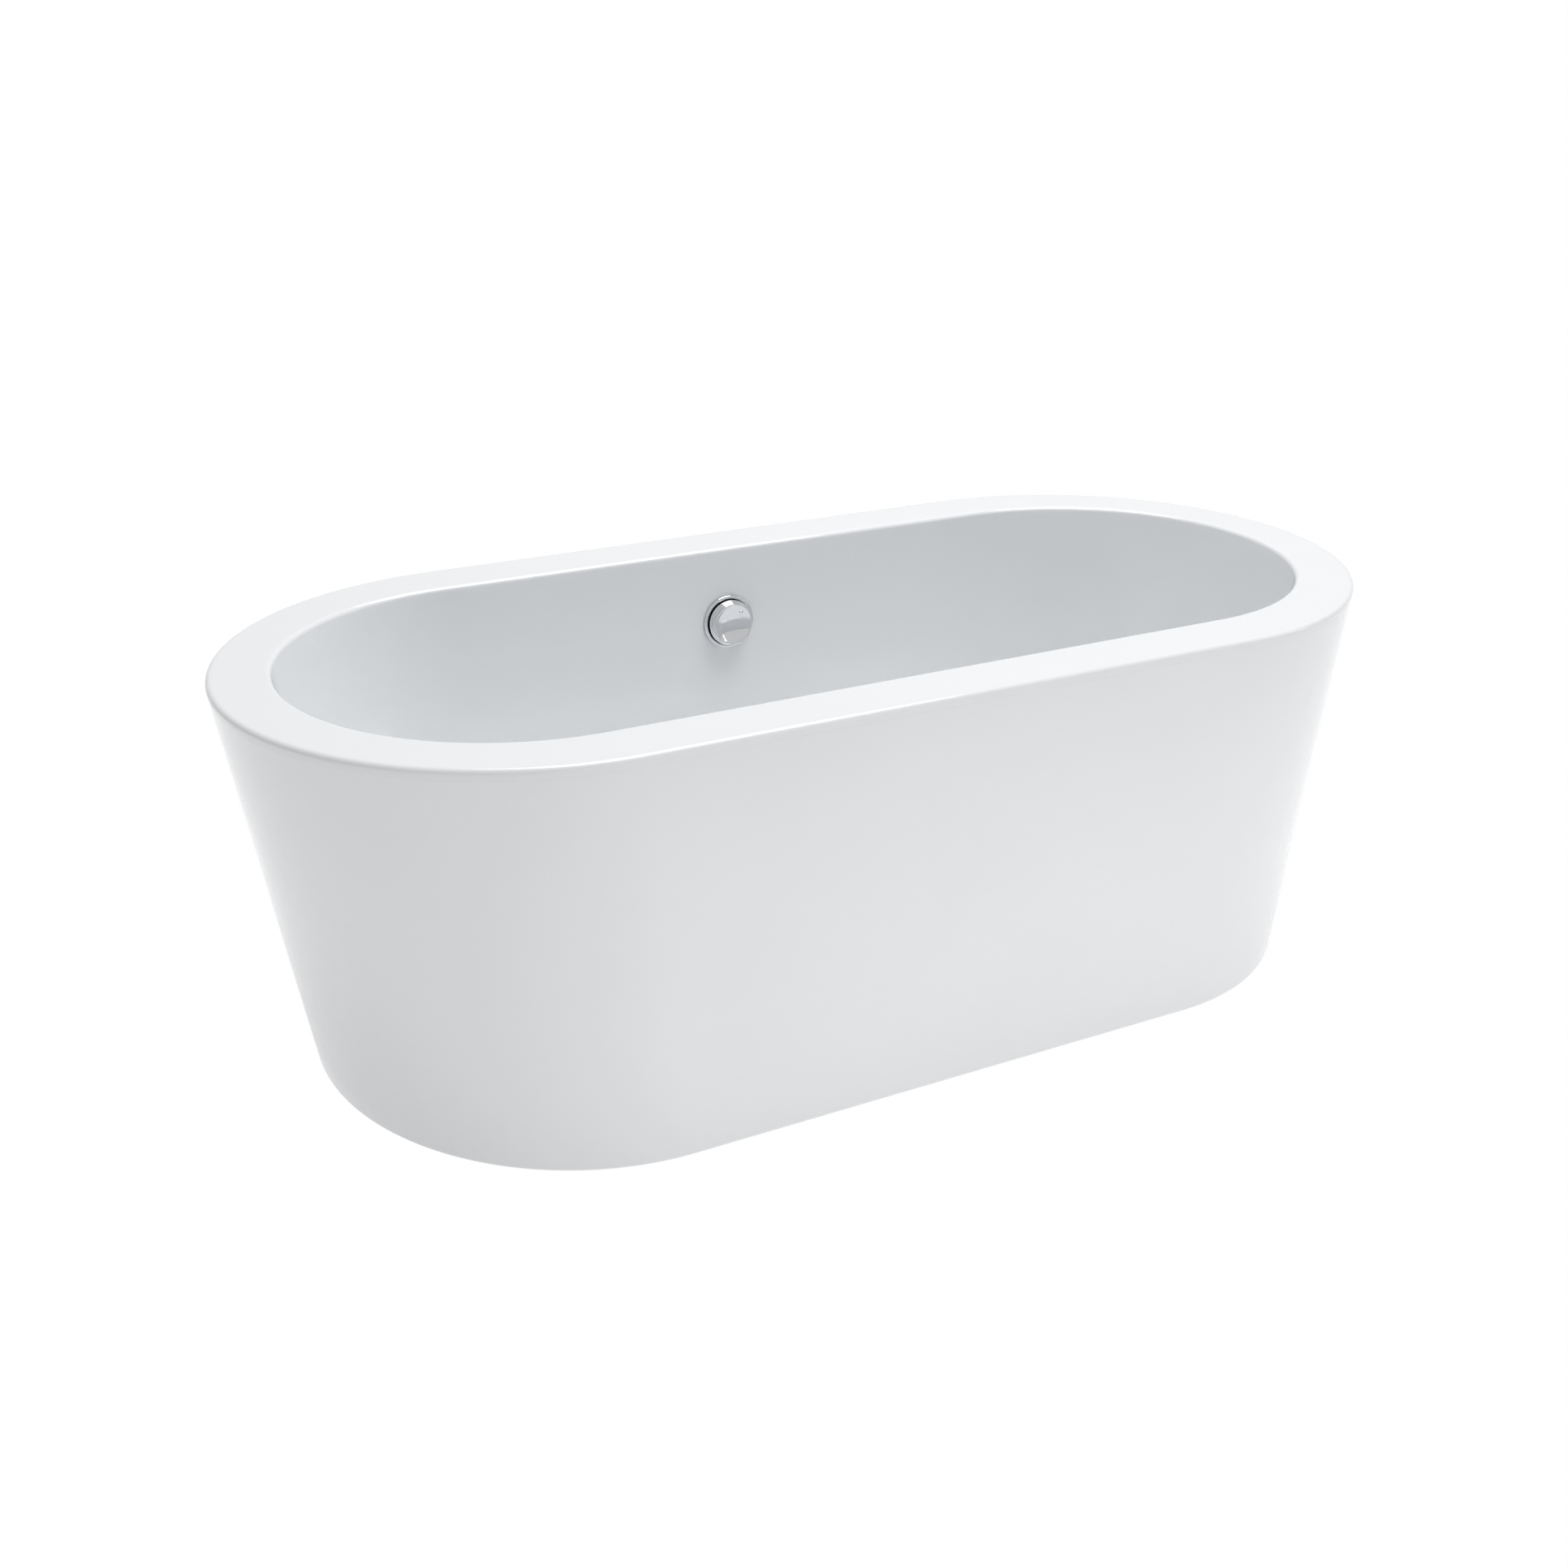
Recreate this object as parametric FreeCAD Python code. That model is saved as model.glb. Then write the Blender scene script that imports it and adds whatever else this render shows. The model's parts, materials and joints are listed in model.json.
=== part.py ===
"""Freestanding double-walled acrylic bathtub with a turn-knob overflow and a pop-up drain.

Millimetres.  +X runs along the tub, +Y towards the long wall that carries the overflow, +Z up.
The origin is on the floor, under the middle of the tub.
"""

import FreeCAD
import Part

import collections
import math
import os

V = FreeCAD.Vector
UP = V(0, 0, 1)
ALONG = V(1, 0, 0)
ACROSS = V(0, 1, 0)

# ---- overall form --------------------------------------------------------------------------
LENGTH = 1700.0
WIDTH = 800.0
HEIGHT = 565.0
RIM_END_REACH = 405.0          # length of each rounded end of the rim
RIM_END_WIDTH = 81.0           # flat rim, at the two ends
RIM_SIDE_WIDTH = 91.0          # flat rim, along the two sides
RIM_EDGE_RADIUS = 7.0
LIP_DEPTH = 14.0               # the rim turns down this far over the skirt
BASE_END_INSET = 92.0          # the skirt's foot stands in from the rim, at the ends
BASE_SIDE_INSET = 4.0
BASE_END_REACH = 368.0
SKIRT_GAP = 3.0                # the skirt clears the floor, the feet carry the load
SKIRT_FLANGE = 30.0            # inturned edge at the skirt's foot

# ---- the well ------------------------------------------------------------------------------
FLOOR_HEIGHT = 150.0           # bathing floor beside the drain
FLOOR_FALL = 6.0               # the floor's edge is this much higher than its middle
FLOOR_END_REACH = 270.0
FLOOR_CORNER = 100.0
WELL_END_REACH = 312.0
WELL_END_LEAN = 13.9           # degrees from upright
WELL_SIDE_LEAN = 3.3
ACRYLIC = 4.0                  # sheet thickness
GLASS_FIBRE = 4.0              # laminate behind the acrylic

# ---- drain ---------------------------------------------------------------------------------
DRAIN_POCKET_RADIUS = 38.0
DRAIN_POCKET_DEPTH = 3.0
DRAIN_HOLE_RADIUS = 26.0
DRAIN_FLANGE_RADIUS = 36.0
DRAIN_THREAD_RADIUS = 23.0
DRAIN_BORE_RADIUS = 19.5
DRAIN_THREAD = 20.0            # thread's length under the seal
FLANGE_FACE = 3.0              # flange's height above its seal
FLANGE_SLOPE = 1.2
FLANGE_TOP = 4.0               # flat top's width, inside the edge
SEAT_DROP = 1.0                # the dished seat's outer edge under the flange's underside
SEAT_DEPTH = 2.5               # its inner edge
FLANGE_SEAL = 1.5
FLANGE_SEAL_INSET = 1.0        # the seal stays inside the flange's edge
SPIDER_RISE = 4.0              # lift pin's guide above the thread's end
SPIDER_BAR = 3.0
SPIDER_HEIGHT = 6.0
SPIDER_BOSS = 8.0
SPIDER_ROOT = 1.0              # bars' length in the thread's wall
BODY_SEAL = 3.0
BODY_RADIUS = 30.0
BODY_WALL = 4.0
BODY_COLLAR = 14.0             # collar around the body's top
BODY_COLLAR_HEIGHT = 5.0
BODY_THREAD = 22.0
SPIGOT = 17.0                  # outlet spigot's length under the body
SPIGOT_STOP = 2.0              # depth of the outlet pipe's stop, in the body's foot
HOUSING_RADIUS = 16.0          # crank housing
HOUSING_BORE = 13.5
HOUSING_START = -48.0          # crank housing's open end, along X
HOUSING_LENGTH = 30.0
HOUSING_DEPTH = 15.0
COVER_LIP = 2.0
COVER_PLATE = 3.0
PLUG_RADIUS = 31.0
PLUG_CROWN = 6.0               # height of the dome
PLUG_SEAT = 3.8                # dome's underside above the flange's underside
PLUG_NECK = 6.0
PLUG_NECK_RADIUS = 17.0
PLUG_EDGE = 0.6
PLUG_SEAL = 3.0
PLUG_SEAL_DROP = 1.6           # seal's underside below the flange's underside
PLUG_SEAL_OVERLAP = 1.0        # seal over the bore's edge
PIN_TIP_RADIUS = 1.0
LIFT_PIN_RADIUS = 3.0
CRANK_FINGER = 20.0            # crank shaft to lift pin
CRANK_SWING = 35.0             # degrees, lifts the plug by 12
CRANK_DROP = 55.0              # crank shaft below the bathing floor
CRANK_LEVER = 9.0
CRANK_SHAFT_RADIUS = 3.0
CRANK_START = -44.0            # crank shaft's outer end, along X
CRANK_LEVER_START = -40.0
CRANK_FINGER_WIDTH = 6.0
CRANK_FINGER_HEIGHT = 5.0
CRANK_LEVER_THICKNESS = 4.0
CRANK_EYE_RADIUS = 2.4
OUTLET_RADIUS = 20.0
OUTLET_WALL = 2.5
OUTLET_CLEARANCE = 15.0        # outlet's end above the floor
OUTLET_FREE = 19.5             # plain length below the stop bead
OUTLET_BEAD = 2.0
OUTLET_BEAD_HEIGHT = 1.2
OUTLET_DEPTH = 3.0             # outlet pipe's top under the body's foot
OUTLET_SEAL = 3.0
OUTLET_NUT = 20.0
OUTLET_NUT_WALL = 4.0
OUTLET_NUT_PLAY = 1.5          # nut above the stop bead

# ---- overflow ------------------------------------------------------------------------------
OVERFLOW_HEIGHT = 448.0
OVERFLOW_HOLE_RADIUS = 30.0
TRIM_RADIUS = 42.0
FACE_SEAL = 1.5
BACK_SEAL = 2.5
TRIM_FACE = 5.5                # trim ring's face in front of the wall
KNOB_BACK = 8.0
KNOB_FACE = 21.5
KNOB_STEPS = ((36.0, 11.8), (34.2, 16.0), (32.4, 21.5))   # (radius, where the step ends)
KNOB_LIP = 2.2                 # flat edge around the dish
KNOB_DISH = 9.0                # depth of the dish
SPINDLE_RADIUS = 4.0
CUP_RADIUS = 29.0
CUP_WALL = 3.0
CUP_DEPTH = 37.5
CHAMBER_DEPTH = 14.0
CHAMBER_RADIUS = 14.0
CHAMBER_LID = 2.0
CHAMBER_LIP = 1.5
COLLAR = 11.0                  # collar around the cup's mouth
COLLAR_HEIGHT = 4.0
HOSE_PORT_END = 62.0           # hose port's end, below the spindle
CABLE_PORT_END = 40.0
CABLE_WIRE = 1.5               # radius of the wire's bore
TRIM_SCREWS = (-20.0, 20.0)
TRIM_SCREW_RADIUS = 2.0
TRIM_SCREW_BITE = 8.0
TRIM_SCREW_HEAD = 1.8
TRIM_BOSS_RADIUS = 5.0
TRIM_BOSS_BACK = 2.0           # screw bosses and the collar's face
TRIM_EDGE = 2.2
TRIM_EDGE_BOW = 0.66           # the bevel's middle stands this far outside its ends
TRIM_BACK_EDGE = 0.5
TRIM_WEB = 1.5
TRIM_HUB_HOLE = 9.0
TRIM_NECK = 2.5
WEB_HOLES = 4
WEB_HOLE_RADIUS = 5.5
WEB_HOLE_PLACE = 19.0
SPINDLE_BOSS_WALL = 4.0
SPINDLE_BOSS_BACK = 10.0       # spindle's bearing ends this far behind the collar's face
HUB_WALL = 3.5
HUB_DEPTH = 4.0                # knob's hub behind the wall's face
KNOB_EDGE = 0.6
DRUM_RADIUS = 9.0
DRUM_PLATE = 3.0
DRUM_PIN = 6.0                 # cable pin from the spindle's axis
DRUM_PIN_RADIUS = 1.5

# ---- hose and control cable ----------------------------------------------------------------
HOSE_RADIUS = 14.0
HOSE_BORE = 11.5
HOSE_BEND = 150.0
HOSE_DROP = 70.0               # hose centre at the drain, below the bathing floor
HOSE_NUT_PLAY = 2.0            # upper hose nut behind the laminate
PORT_SEAL = 2.0
PORT_STEP = 2.0                # port stands this far outside the hose
NUT_WALL = 4.0
NUT_LENGTH = 18.0
CABLE_RADIUS = 3.5
NUT_LAP = 6.0                  # hose nut's length over its port
CABLE_BOSS = 6.0
CABLE_BOSS_END = 30.0          # cable boss's end, across the tub
CABLE_OFFSET = 36.0            # cable beside the drain
FERRULE = 12.0
FERRULE_WALL = 1.2

# ---- frame and feet ------------------------------------------------------------------------
BOARD = 15.0
BOARD_MARGIN = 6.0             # board stands in from where the floor starts to curve up
BOARD_HOLE_RADIUS = 52.0
TUBE = 25.0
TUBE_WALL = 2.0
RAIL_INSET = 28.4              # rail's middle in from the board's edge
RAIL_OVERHANG = 60.0
CROSSBAR_INSET = 30.0          # from the end of the skirt's straight sides
BATTEN = 20.0
BATTEN_RISE = 60.0
FOOT_INSET = 98.0              # foot centre in from the batten
STUD_RADIUS = 5.0
STUD_SPARE = 5.0               # thread standing above its nut
PAD_RADIUS = 22.0
NUT_HEIGHT = 8.0
NUT_FLATS = 17.0
SCREW_RADIUS = 2.5
SCREW_HEAD_RADIUS = 4.75
SCREW_HEAD = 2.0
SCREW_ROW = (-0.7, -0.25, 0.25, 0.7)   # board screws along a rail, as shares of the crossbar's place
BOARD_BITE = 12.0              # board screw's length in the board
SCREW_GRIP = 4.0               # bracket screw's length in the crossbar
BOLT_RADIUS = 4.0
BOLT_FLATS = 13.0
BOLT_HEAD = 5.2
BOLT_NUT = 6.4
BOLT_SPARE = 8.0               # bolt's length inside the rail
BRACKET = 24.0
BRACKET_PLATE = 3.0
BRACKET_SCREW = 14.0           # bracket screw from the bracket's corner
STUD_HOLE_GAP = 0.5
PAD_EDGE = 1.5
PAD_THICKNESS = 4.0
PAD_SHOULDER = 8.0
SOCKET_WALL = 5.0
SOCKET_FLOOR = 3.5
SOCKET_TOP = 16.0
SPANNER_Z = 18.0               # hexagon on the stud, above the pad's socket
SPANNER_FLATS = 14.0
SPANNER_HEIGHT = 6.0

# ---- fits ----------------------------------------------------------------------------------
RUNNING = 0.05                 # radial, between parts that turn or slide
THREAD_GAP = 0.1               # radial, in a joint that is screwed up and stays
SEAT_GAP = 0.4                 # plug seal to its seat
OPEN_GAP = 0.5                 # lift pin to the crank's finger

SAME = 1e-3                    # two sizes are the same within this distance

PORT_RADIUS = HOSE_RADIUS + PORT_STEP
NUT_RADIUS = PORT_RADIUS + NUT_WALL

Oval = collections.namedtuple("Oval", "half_length half_width reach")

RIM = Oval(LENGTH / 2, WIDTH / 2, RIM_END_REACH)
BASE = Oval(LENGTH / 2 - BASE_END_INSET, WIDTH / 2 - BASE_SIDE_INSET, BASE_END_REACH)
MOUTH = Oval(LENGTH / 2 - RIM_END_WIDTH, WIDTH / 2 - RIM_SIDE_WIDTH, WELL_END_REACH)
WALL = ACRYLIC + GLASS_FIBRE


# ---- ovals and the blocks between them -----------------------------------------------------
def grown(oval, by):
    """The oval set out by a distance all round; its straight sides keep their length."""
    return Oval(oval.half_length + by, oval.half_width + by, oval.reach + by)


def between(low, high, share):
    """The oval at a share of the way from low to high."""
    return Oval(*(a + (b - a) * share for a, b in zip(low, high)))


def quarter(centre, reach, half_width, start):
    """A quarter of the ellipse around centre, from the angle start, in degrees."""
    if abs(reach - half_width) < SAME:
        circle = Part.Circle(centre, UP, reach)
        return Part.Arc(circle, math.radians(start), math.radians(start + 90)).toShape()
    if reach > half_width:
        ellipse = Part.Ellipse(centre + V(reach, 0, 0), centre + V(0, half_width, 0), centre)
        turn = 0.0
    else:
        ellipse = Part.Ellipse(centre + V(0, half_width, 0), centre - V(reach, 0, 0), centre)
        turn = -90.0
    first = math.radians(start + turn)
    return Part.Arc(ellipse, first, first + math.pi / 2).toShape()


def oval_wire(oval, z):
    """Two straight sides joined by elliptical ends, at height z."""
    straight = oval.half_length - oval.reach
    right = V(straight, 0, z)
    left = V(-straight, 0, z)
    side = V(0, oval.half_width, 0)
    edges = [Part.LineSegment(left - side, right - side).toShape()]
    edges += [quarter(right, oval.reach, oval.half_width, a) for a in (-90, 0)]
    edges.append(Part.LineSegment(right + side, left + side).toShape())
    edges += [quarter(left, oval.reach, oval.half_width, a) for a in (90, 180)]
    return Part.Wire(edges)


def block(*sections):
    """The solid through a list of (oval, z) sections, with straight walls between them."""
    return Part.makeLoft([oval_wire(oval, z) for oval, z in sections], True, True)


def skirt_oval(z, inset=0.0):
    """The outside of the tub at height z."""
    return grown(between(BASE, RIM, z / HEIGHT), -inset)


def skirt_block(low, high, inset=0.0):
    """The tub's outer form between two heights, set in by inset."""
    return block((skirt_oval(low, inset), low), (skirt_oval(high, inset), high))


def well_oval(z, grow=0.0):
    """The inside of the well at height z."""
    depth = HEIGHT - z
    share = depth / (HEIGHT - FLOOR_HEIGHT)
    half_length = MOUTH.half_length - depth * math.tan(math.radians(WELL_END_LEAN))
    half_width = MOUTH.half_width - depth * math.tan(math.radians(WELL_SIDE_LEAN))
    reach = MOUTH.reach + (FLOOR_END_REACH - MOUTH.reach) * share
    return grown(Oval(half_length, half_width, reach), grow)


def edges_at(shape, z):
    """The edges that lie wholly at height z."""
    return [
        e for e in shape.Edges
        if abs(e.BoundBox.ZMin - z) < SAME and abs(e.BoundBox.ZMax - z) < SAME
    ]


def well_block(grow, bottom, top, fall):
    """The well's form, set out by grow, with its floor's edge rounded up into the walls."""
    edge = bottom + fall
    sections = [(well_oval(edge, grow), edge), (well_oval(top, grow), top)]
    if fall:
        middle = DRAIN_POCKET_RADIUS + 2 * ACRYLIC
        sections.insert(0, (Oval(2 * middle, middle, middle), bottom))
    form = block(*sections)
    return form.makeFillet(FLOOR_CORNER + grow, edges_at(form, edge))


# ---- small shapes --------------------------------------------------------------------------
def rod(start, axis, length, radius):
    """A cylinder from start along axis."""
    return Part.makeCylinder(radius, length, start, axis)


def tube(start, axis, length, radius, bore):
    """A hollow cylinder."""
    return rod(start, axis, length, radius).cut(rod(start, axis, length, bore))


def turned(points):
    """A solid of revolution about Z from (radius, z) points."""
    corners = [V(r, 0, z) for r, z in points]
    face = Part.Face(Part.makePolygon(corners + corners[:1]))
    return face.revolve(V(0, 0, 0), UP, 360)


def hexagon(centre, flats, height, bore):
    """A nut's form, standing on centre."""
    corner = flats / math.sqrt(3)
    points = []
    for k in range(7):
        angle = math.radians(60 * k)
        points.append(centre + V(corner * math.cos(angle), corner * math.sin(angle), 0))
    body = Part.Face(Part.makePolygon(points)).extrude(V(0, 0, height))
    return body.cut(rod(centre, UP, height, bore)) if bore else body


def box_between(low, high):
    """A box given by two corners."""
    size = high - low
    return Part.makeBox(size.x, size.y, size.z, low)


def joined(shapes):
    """Touching pieces of one part, made one solid."""
    whole = shapes[0].multiFuse(shapes[1:])
    return whole.removeSplitter()


def group(shapes):
    """Separate like pieces that share a node."""
    return Part.makeCompound(shapes)


# ---- levels that parts share ---------------------------------------------------------------
POCKET_Z = FLOOR_HEIGHT - DRAIN_POCKET_DEPTH
FLANGE_Z = POCKET_Z + FLANGE_SEAL
UNDERSIDE = POCKET_Z - ACRYLIC - GLASS_FIBRE
BOARD_Z = UNDERSIDE - BOARD
RAIL_Z = BOARD_Z - TUBE
BAR_Z = RAIL_Z - TUBE
LIP_Z = HEIGHT - LIP_DEPTH
DECK_Z = HEIGHT - ACRYLIC
BODY_TOP = UNDERSIDE - BODY_SEAL
CRANK_Z = FLOOR_HEIGHT - CRANK_DROP
HOSE_Z = FLOOR_HEIGHT - HOSE_DROP
BEAD_TOP = OUTLET_CLEARANCE + OUTLET_FREE + OUTLET_BEAD
BODY_FOOT = BEAD_TOP + OUTLET_NUT_PLAY + OUTLET_NUT_WALL + OUTLET_SEAL + SPIGOT
STRAIGHT = skirt_oval(BAR_Z).half_length - skirt_oval(BAR_Z).reach
BAR_X = STRAIGHT - CROSSBAR_INSET
BOARD_OVAL = grown(well_oval(UNDERSIDE), -FLOOR_CORNER - BOARD_MARGIN)
RAIL_OFFSET = BOARD_OVAL.half_width - RAIL_INSET


# ---- tub shells ----------------------------------------------------------------------------
def overflow_place():
    """Where the overflow's own axes stand: its +Z out of the wall, its +Y up the wall."""
    y = well_oval(OVERFLOW_HEIGHT).half_width
    return FreeCAD.Placement(V(0, y, OVERFLOW_HEIGHT), FreeCAD.Rotation(ALONG, 90 - WELL_SIDE_LEAN))


def at_wall(shape):
    """A shape drawn on the overflow's own axes, put in its place on the wall."""
    placed = shape.copy()
    placed.Placement = overflow_place().multiply(shape.Placement)
    return placed


def wall_hole():
    """The overflow's hole through the long wall."""
    return at_wall(rod(V(0, 0, -4 * WALL), UP, 5 * WALL, OVERFLOW_HOLE_RADIUS))


def drain_hole(radius, low, high):
    """An upright hole at the drain."""
    return rod(V(0, 0, low), UP, high - low, radius)


def well_inside():
    """The space for the bather."""
    form = well_block(0.0, FLOOR_HEIGHT, HEIGHT, FLOOR_FALL)
    return form.fuse(drain_hole(DRAIN_POCKET_RADIUS, POCKET_Z, FLOOR_HEIGHT + FLOOR_FALL))


def well_acrylic():
    """The back of the acrylic sheet."""
    form = well_block(ACRYLIC, FLOOR_HEIGHT - ACRYLIC, HEIGHT, FLOOR_FALL)
    pocket = drain_hole(DRAIN_POCKET_RADIUS + ACRYLIC, POCKET_Z - ACRYLIC, FLOOR_HEIGHT)
    return form.fuse(pocket)


def basin_shell():
    """Acrylic basin: well, flat rim and the lip that turns down over the skirt."""
    lip = skirt_block(LIP_Z, HEIGHT).cut(skirt_block(LIP_Z, DECK_Z, ACRYLIC))
    shell = lip.fuse(well_acrylic()).cut(well_inside()).removeSplitter()
    shell = shell.makeFillet(RIM_EDGE_RADIUS, edges_at(shell, HEIGHT))
    return shell.cut(wall_hole()).cut(drain_hole(DRAIN_HOLE_RADIUS, UNDERSIDE, FLOOR_HEIGHT))


def basin_backing():
    """Glass-fibre laminate under the rim and around the well, flat under the floor."""
    under_rim = skirt_block(DECK_Z - GLASS_FIBRE, DECK_Z, ACRYLIC)
    backing = under_rim.fuse(well_block(WALL, UNDERSIDE, DECK_Z, 0.0)).cut(well_acrylic())
    return backing.cut(wall_hole()).cut(drain_hole(DRAIN_HOLE_RADIUS, UNDERSIDE, FLOOR_HEIGHT))


def skirt_shell():
    """Acrylic skirt with its inturned foot."""
    shell = skirt_block(SKIRT_GAP, LIP_Z).cut(skirt_block(SKIRT_GAP + ACRYLIC, LIP_Z, ACRYLIC))
    return shell.cut(skirt_block(SKIRT_GAP, SKIRT_GAP + ACRYLIC, SKIRT_FLANGE))


def skirt_ring(low, high, inset, thickness):
    """A ring inside the skirt."""
    return skirt_block(low, high, inset).cut(skirt_block(low, high, inset + thickness))


def skirt_backing():
    """Glass-fibre laminate inside the skirt, up to the rim."""
    return skirt_ring(SKIRT_GAP + ACRYLIC, DECK_Z - GLASS_FIBRE, ACRYLIC, GLASS_FIBRE)


def batten(side):
    """Timber strip bonded inside one long side of the skirt, for the frame to fix to."""
    ring = skirt_ring(BAR_Z, BAR_Z + BATTEN_RISE, WALL, BATTEN)
    low = V(-STRAIGHT, min(side, 0) * WIDTH, 0)
    high = V(STRAIGHT, max(side, 0) * WIDTH, HEIGHT)
    return ring.common(box_between(low, high))


def batten_face(z):
    """How far the battens' inner faces stand from the middle."""
    return skirt_oval(z).half_width - WALL - BATTEN


# ---- frame and feet ------------------------------------------------------------------------
def square_tube(centre, axis, length):
    """Square steel tube, open at its ends, around centre."""
    def bar(side):
        half = V(side / 2, side / 2, side / 2)
        half = half + axis * (length / 2 - side / 2)
        return box_between(centre - half, centre + half)

    return bar(TUBE).cut(bar_hollow(centre, axis, length))


def bar_hollow(centre, axis, length):
    """The inside of a square tube."""
    side = TUBE - 2 * TUBE_WALL
    half = V(side / 2, side / 2, side / 2) + axis * (length / 2 - side / 2)
    return box_between(centre - half, centre + half)


def end_plug(centre, axis, length, way):
    """Plastic plug in one end of a square tube."""
    inner = bar_hollow(centre, axis, length)
    reach = 2 * TUBE
    middle = centre + axis * (way * (length / 2))
    half = V(reach, reach, reach) - axis * (reach - TUBE / 2)
    return inner.common(box_between(middle - half, middle + half))


def rail_length():
    """The rails' length, past the crossbars."""
    return 2 * (BAR_X + RAIL_OVERHANG)


def rail_centre(side):
    """The middle of a rail."""
    return V(0, side * RAIL_OFFSET, RAIL_Z + TUBE / 2)


def bar_length():
    """The crossbars' length, from batten to batten."""
    return 2 * (batten_face(BAR_Z) - THREAD_GAP)


def bar_centre(side):
    """The middle of a crossbar."""
    return V(side * BAR_X, 0, BAR_Z + TUBE / 2)


def board_screw_spots():
    """Where the board's screws enter the rails from below."""
    return [V(x * BAR_X, y * RAIL_OFFSET, RAIL_Z) for x in SCREW_ROW for y in (-1, 1)]


def crossings():
    """Where the rails lie on the crossbars, at the crossbars' underside."""
    return [V(x * BAR_X, y * RAIL_OFFSET, BAR_Z) for x in (-1, 1) for y in (-1, 1)]


def feet():
    """Foot centres on the floor."""
    y = batten_face(BAR_Z) - FOOT_INSET
    return [V(sx * BAR_X, sy * y, 0) for sx in (-1, 1) for sy in (-1, 1)]


def frame_rail(side):
    """Long rail of the frame, drilled for its bolts and screws."""
    rail = square_tube(rail_centre(side), ALONG, rail_length())
    cuts = [rod(p, UP, TUBE, SCREW_RADIUS + THREAD_GAP) for p in board_screw_spots()]
    for p in crossings():
        cuts.append(rod(p + V(0, 0, TUBE), UP, 2 * TUBE_WALL, BOLT_RADIUS + THREAD_GAP))
    return rail.cut(group(cuts))


def crossbar(side):
    """Crossbar under the rails, drilled for its bolts, feet and bracket screws."""
    bar = square_tube(bar_centre(side), ACROSS, bar_length())
    cuts = [rod(p, UP, TUBE, BOLT_RADIUS + THREAD_GAP) for p in crossings()]
    cuts += [rod(p + V(0, 0, BAR_Z), UP, TUBE, STUD_RADIUS + STUD_HOLE_GAP) for p in feet()]
    cuts += [rod(p, -UP, SCREW_GRIP, SCREW_RADIUS) for p in bracket_screw_spots()[0]]
    return bar.cut(group(cuts))


def base_board():
    """Plywood under the floor, screwed to the rails."""
    board = block((BOARD_OVAL, BOARD_Z), (BOARD_OVAL, UNDERSIDE))
    cuts = [drain_hole(BOARD_HOLE_RADIUS, BOARD_Z, UNDERSIDE)]
    cuts += [rod(p + V(0, 0, TUBE), UP, BOARD_BITE, SCREW_RADIUS) for p in board_screw_spots()]
    return board.cut(group(cuts))


def board_screws():
    """Pan-head screws up through the rails into the board."""
    screws = []
    for p in board_screw_spots():
        shank = rod(p, UP, TUBE + BOARD_BITE, SCREW_RADIUS)
        screws.append(joined([shank, rod(p, -UP, SCREW_HEAD, SCREW_HEAD_RADIUS)]))
    return group(screws)


def frame_bolts():
    """Hex bolts up through the crossbars into the rails."""
    bolts = []
    for p in crossings():
        head = hexagon(p - V(0, 0, BOLT_HEAD), BOLT_FLATS, BOLT_HEAD, 0)
        shank = rod(p, UP, TUBE + TUBE_WALL + BOLT_SPARE, BOLT_RADIUS)
        bolts.append(joined([head, shank]))
    return group(bolts)


def frame_nuts():
    """Hex nuts inside the rails."""
    level = V(0, 0, TUBE + TUBE_WALL)
    return group([hexagon(p + level, BOLT_FLATS, BOLT_NUT, BOLT_RADIUS) for p in crossings()])


def frame_end_plugs():
    """Plastic plugs in the open ends of the rails and crossbars, drilled for the bracket screws."""
    plugs = []
    for side in (-1, 1):
        for way in (-1, 1):
            plugs.append(end_plug(rail_centre(side), ALONG, rail_length(), way))
            plugs.append(end_plug(bar_centre(side), ACROSS, bar_length(), way))
    cuts = group([rod(p, -UP, SCREW_GRIP, SCREW_RADIUS) for p in bracket_screw_spots()[0]])
    return group([plug.cut(cuts) for plug in plugs])


def bracket_corners():
    """The inner corner of each angle bracket, with the way it faces."""
    z = BAR_Z + TUBE
    y = batten_face(z) - THREAD_GAP
    return [(V(sx * BAR_X, sy * y, z), sy) for sx in (-1, 1) for sy in (-1, 1)]


def bracket_screw_spots():
    """Screw places on the bracket's flat leg and on its upright leg."""
    flat = [c + V(0, -sy * BRACKET_SCREW, 0) for c, sy in bracket_corners()]
    upright = [(c + V(0, 0, BRACKET_SCREW), sy) for c, sy in bracket_corners()]
    return flat, upright


def angle_brackets():
    """Steel angles that tie the crossbars to the battens."""
    brackets = []
    for corner, sy in bracket_corners():
        legs = []
        for reach, rise in ((BRACKET, BRACKET_PLATE), (BRACKET_PLATE, BRACKET)):
            middle = corner + V(0, -sy * reach / 2, rise / 2)
            half = V(TUBE / 2, reach / 2, rise / 2)
            legs.append(box_between(middle - half, middle + half))
        brackets.append(joined(legs))
    flat_spots, upright_spots = bracket_screw_spots()
    cuts = [rod(p, UP, BRACKET_PLATE, SCREW_RADIUS) for p in flat_spots]
    cuts += [rod(p, V(0, -sy, 0), BRACKET_PLATE, SCREW_RADIUS) for p, sy in upright_spots]
    return group([b.cut(group(cuts)) for b in brackets])


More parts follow.
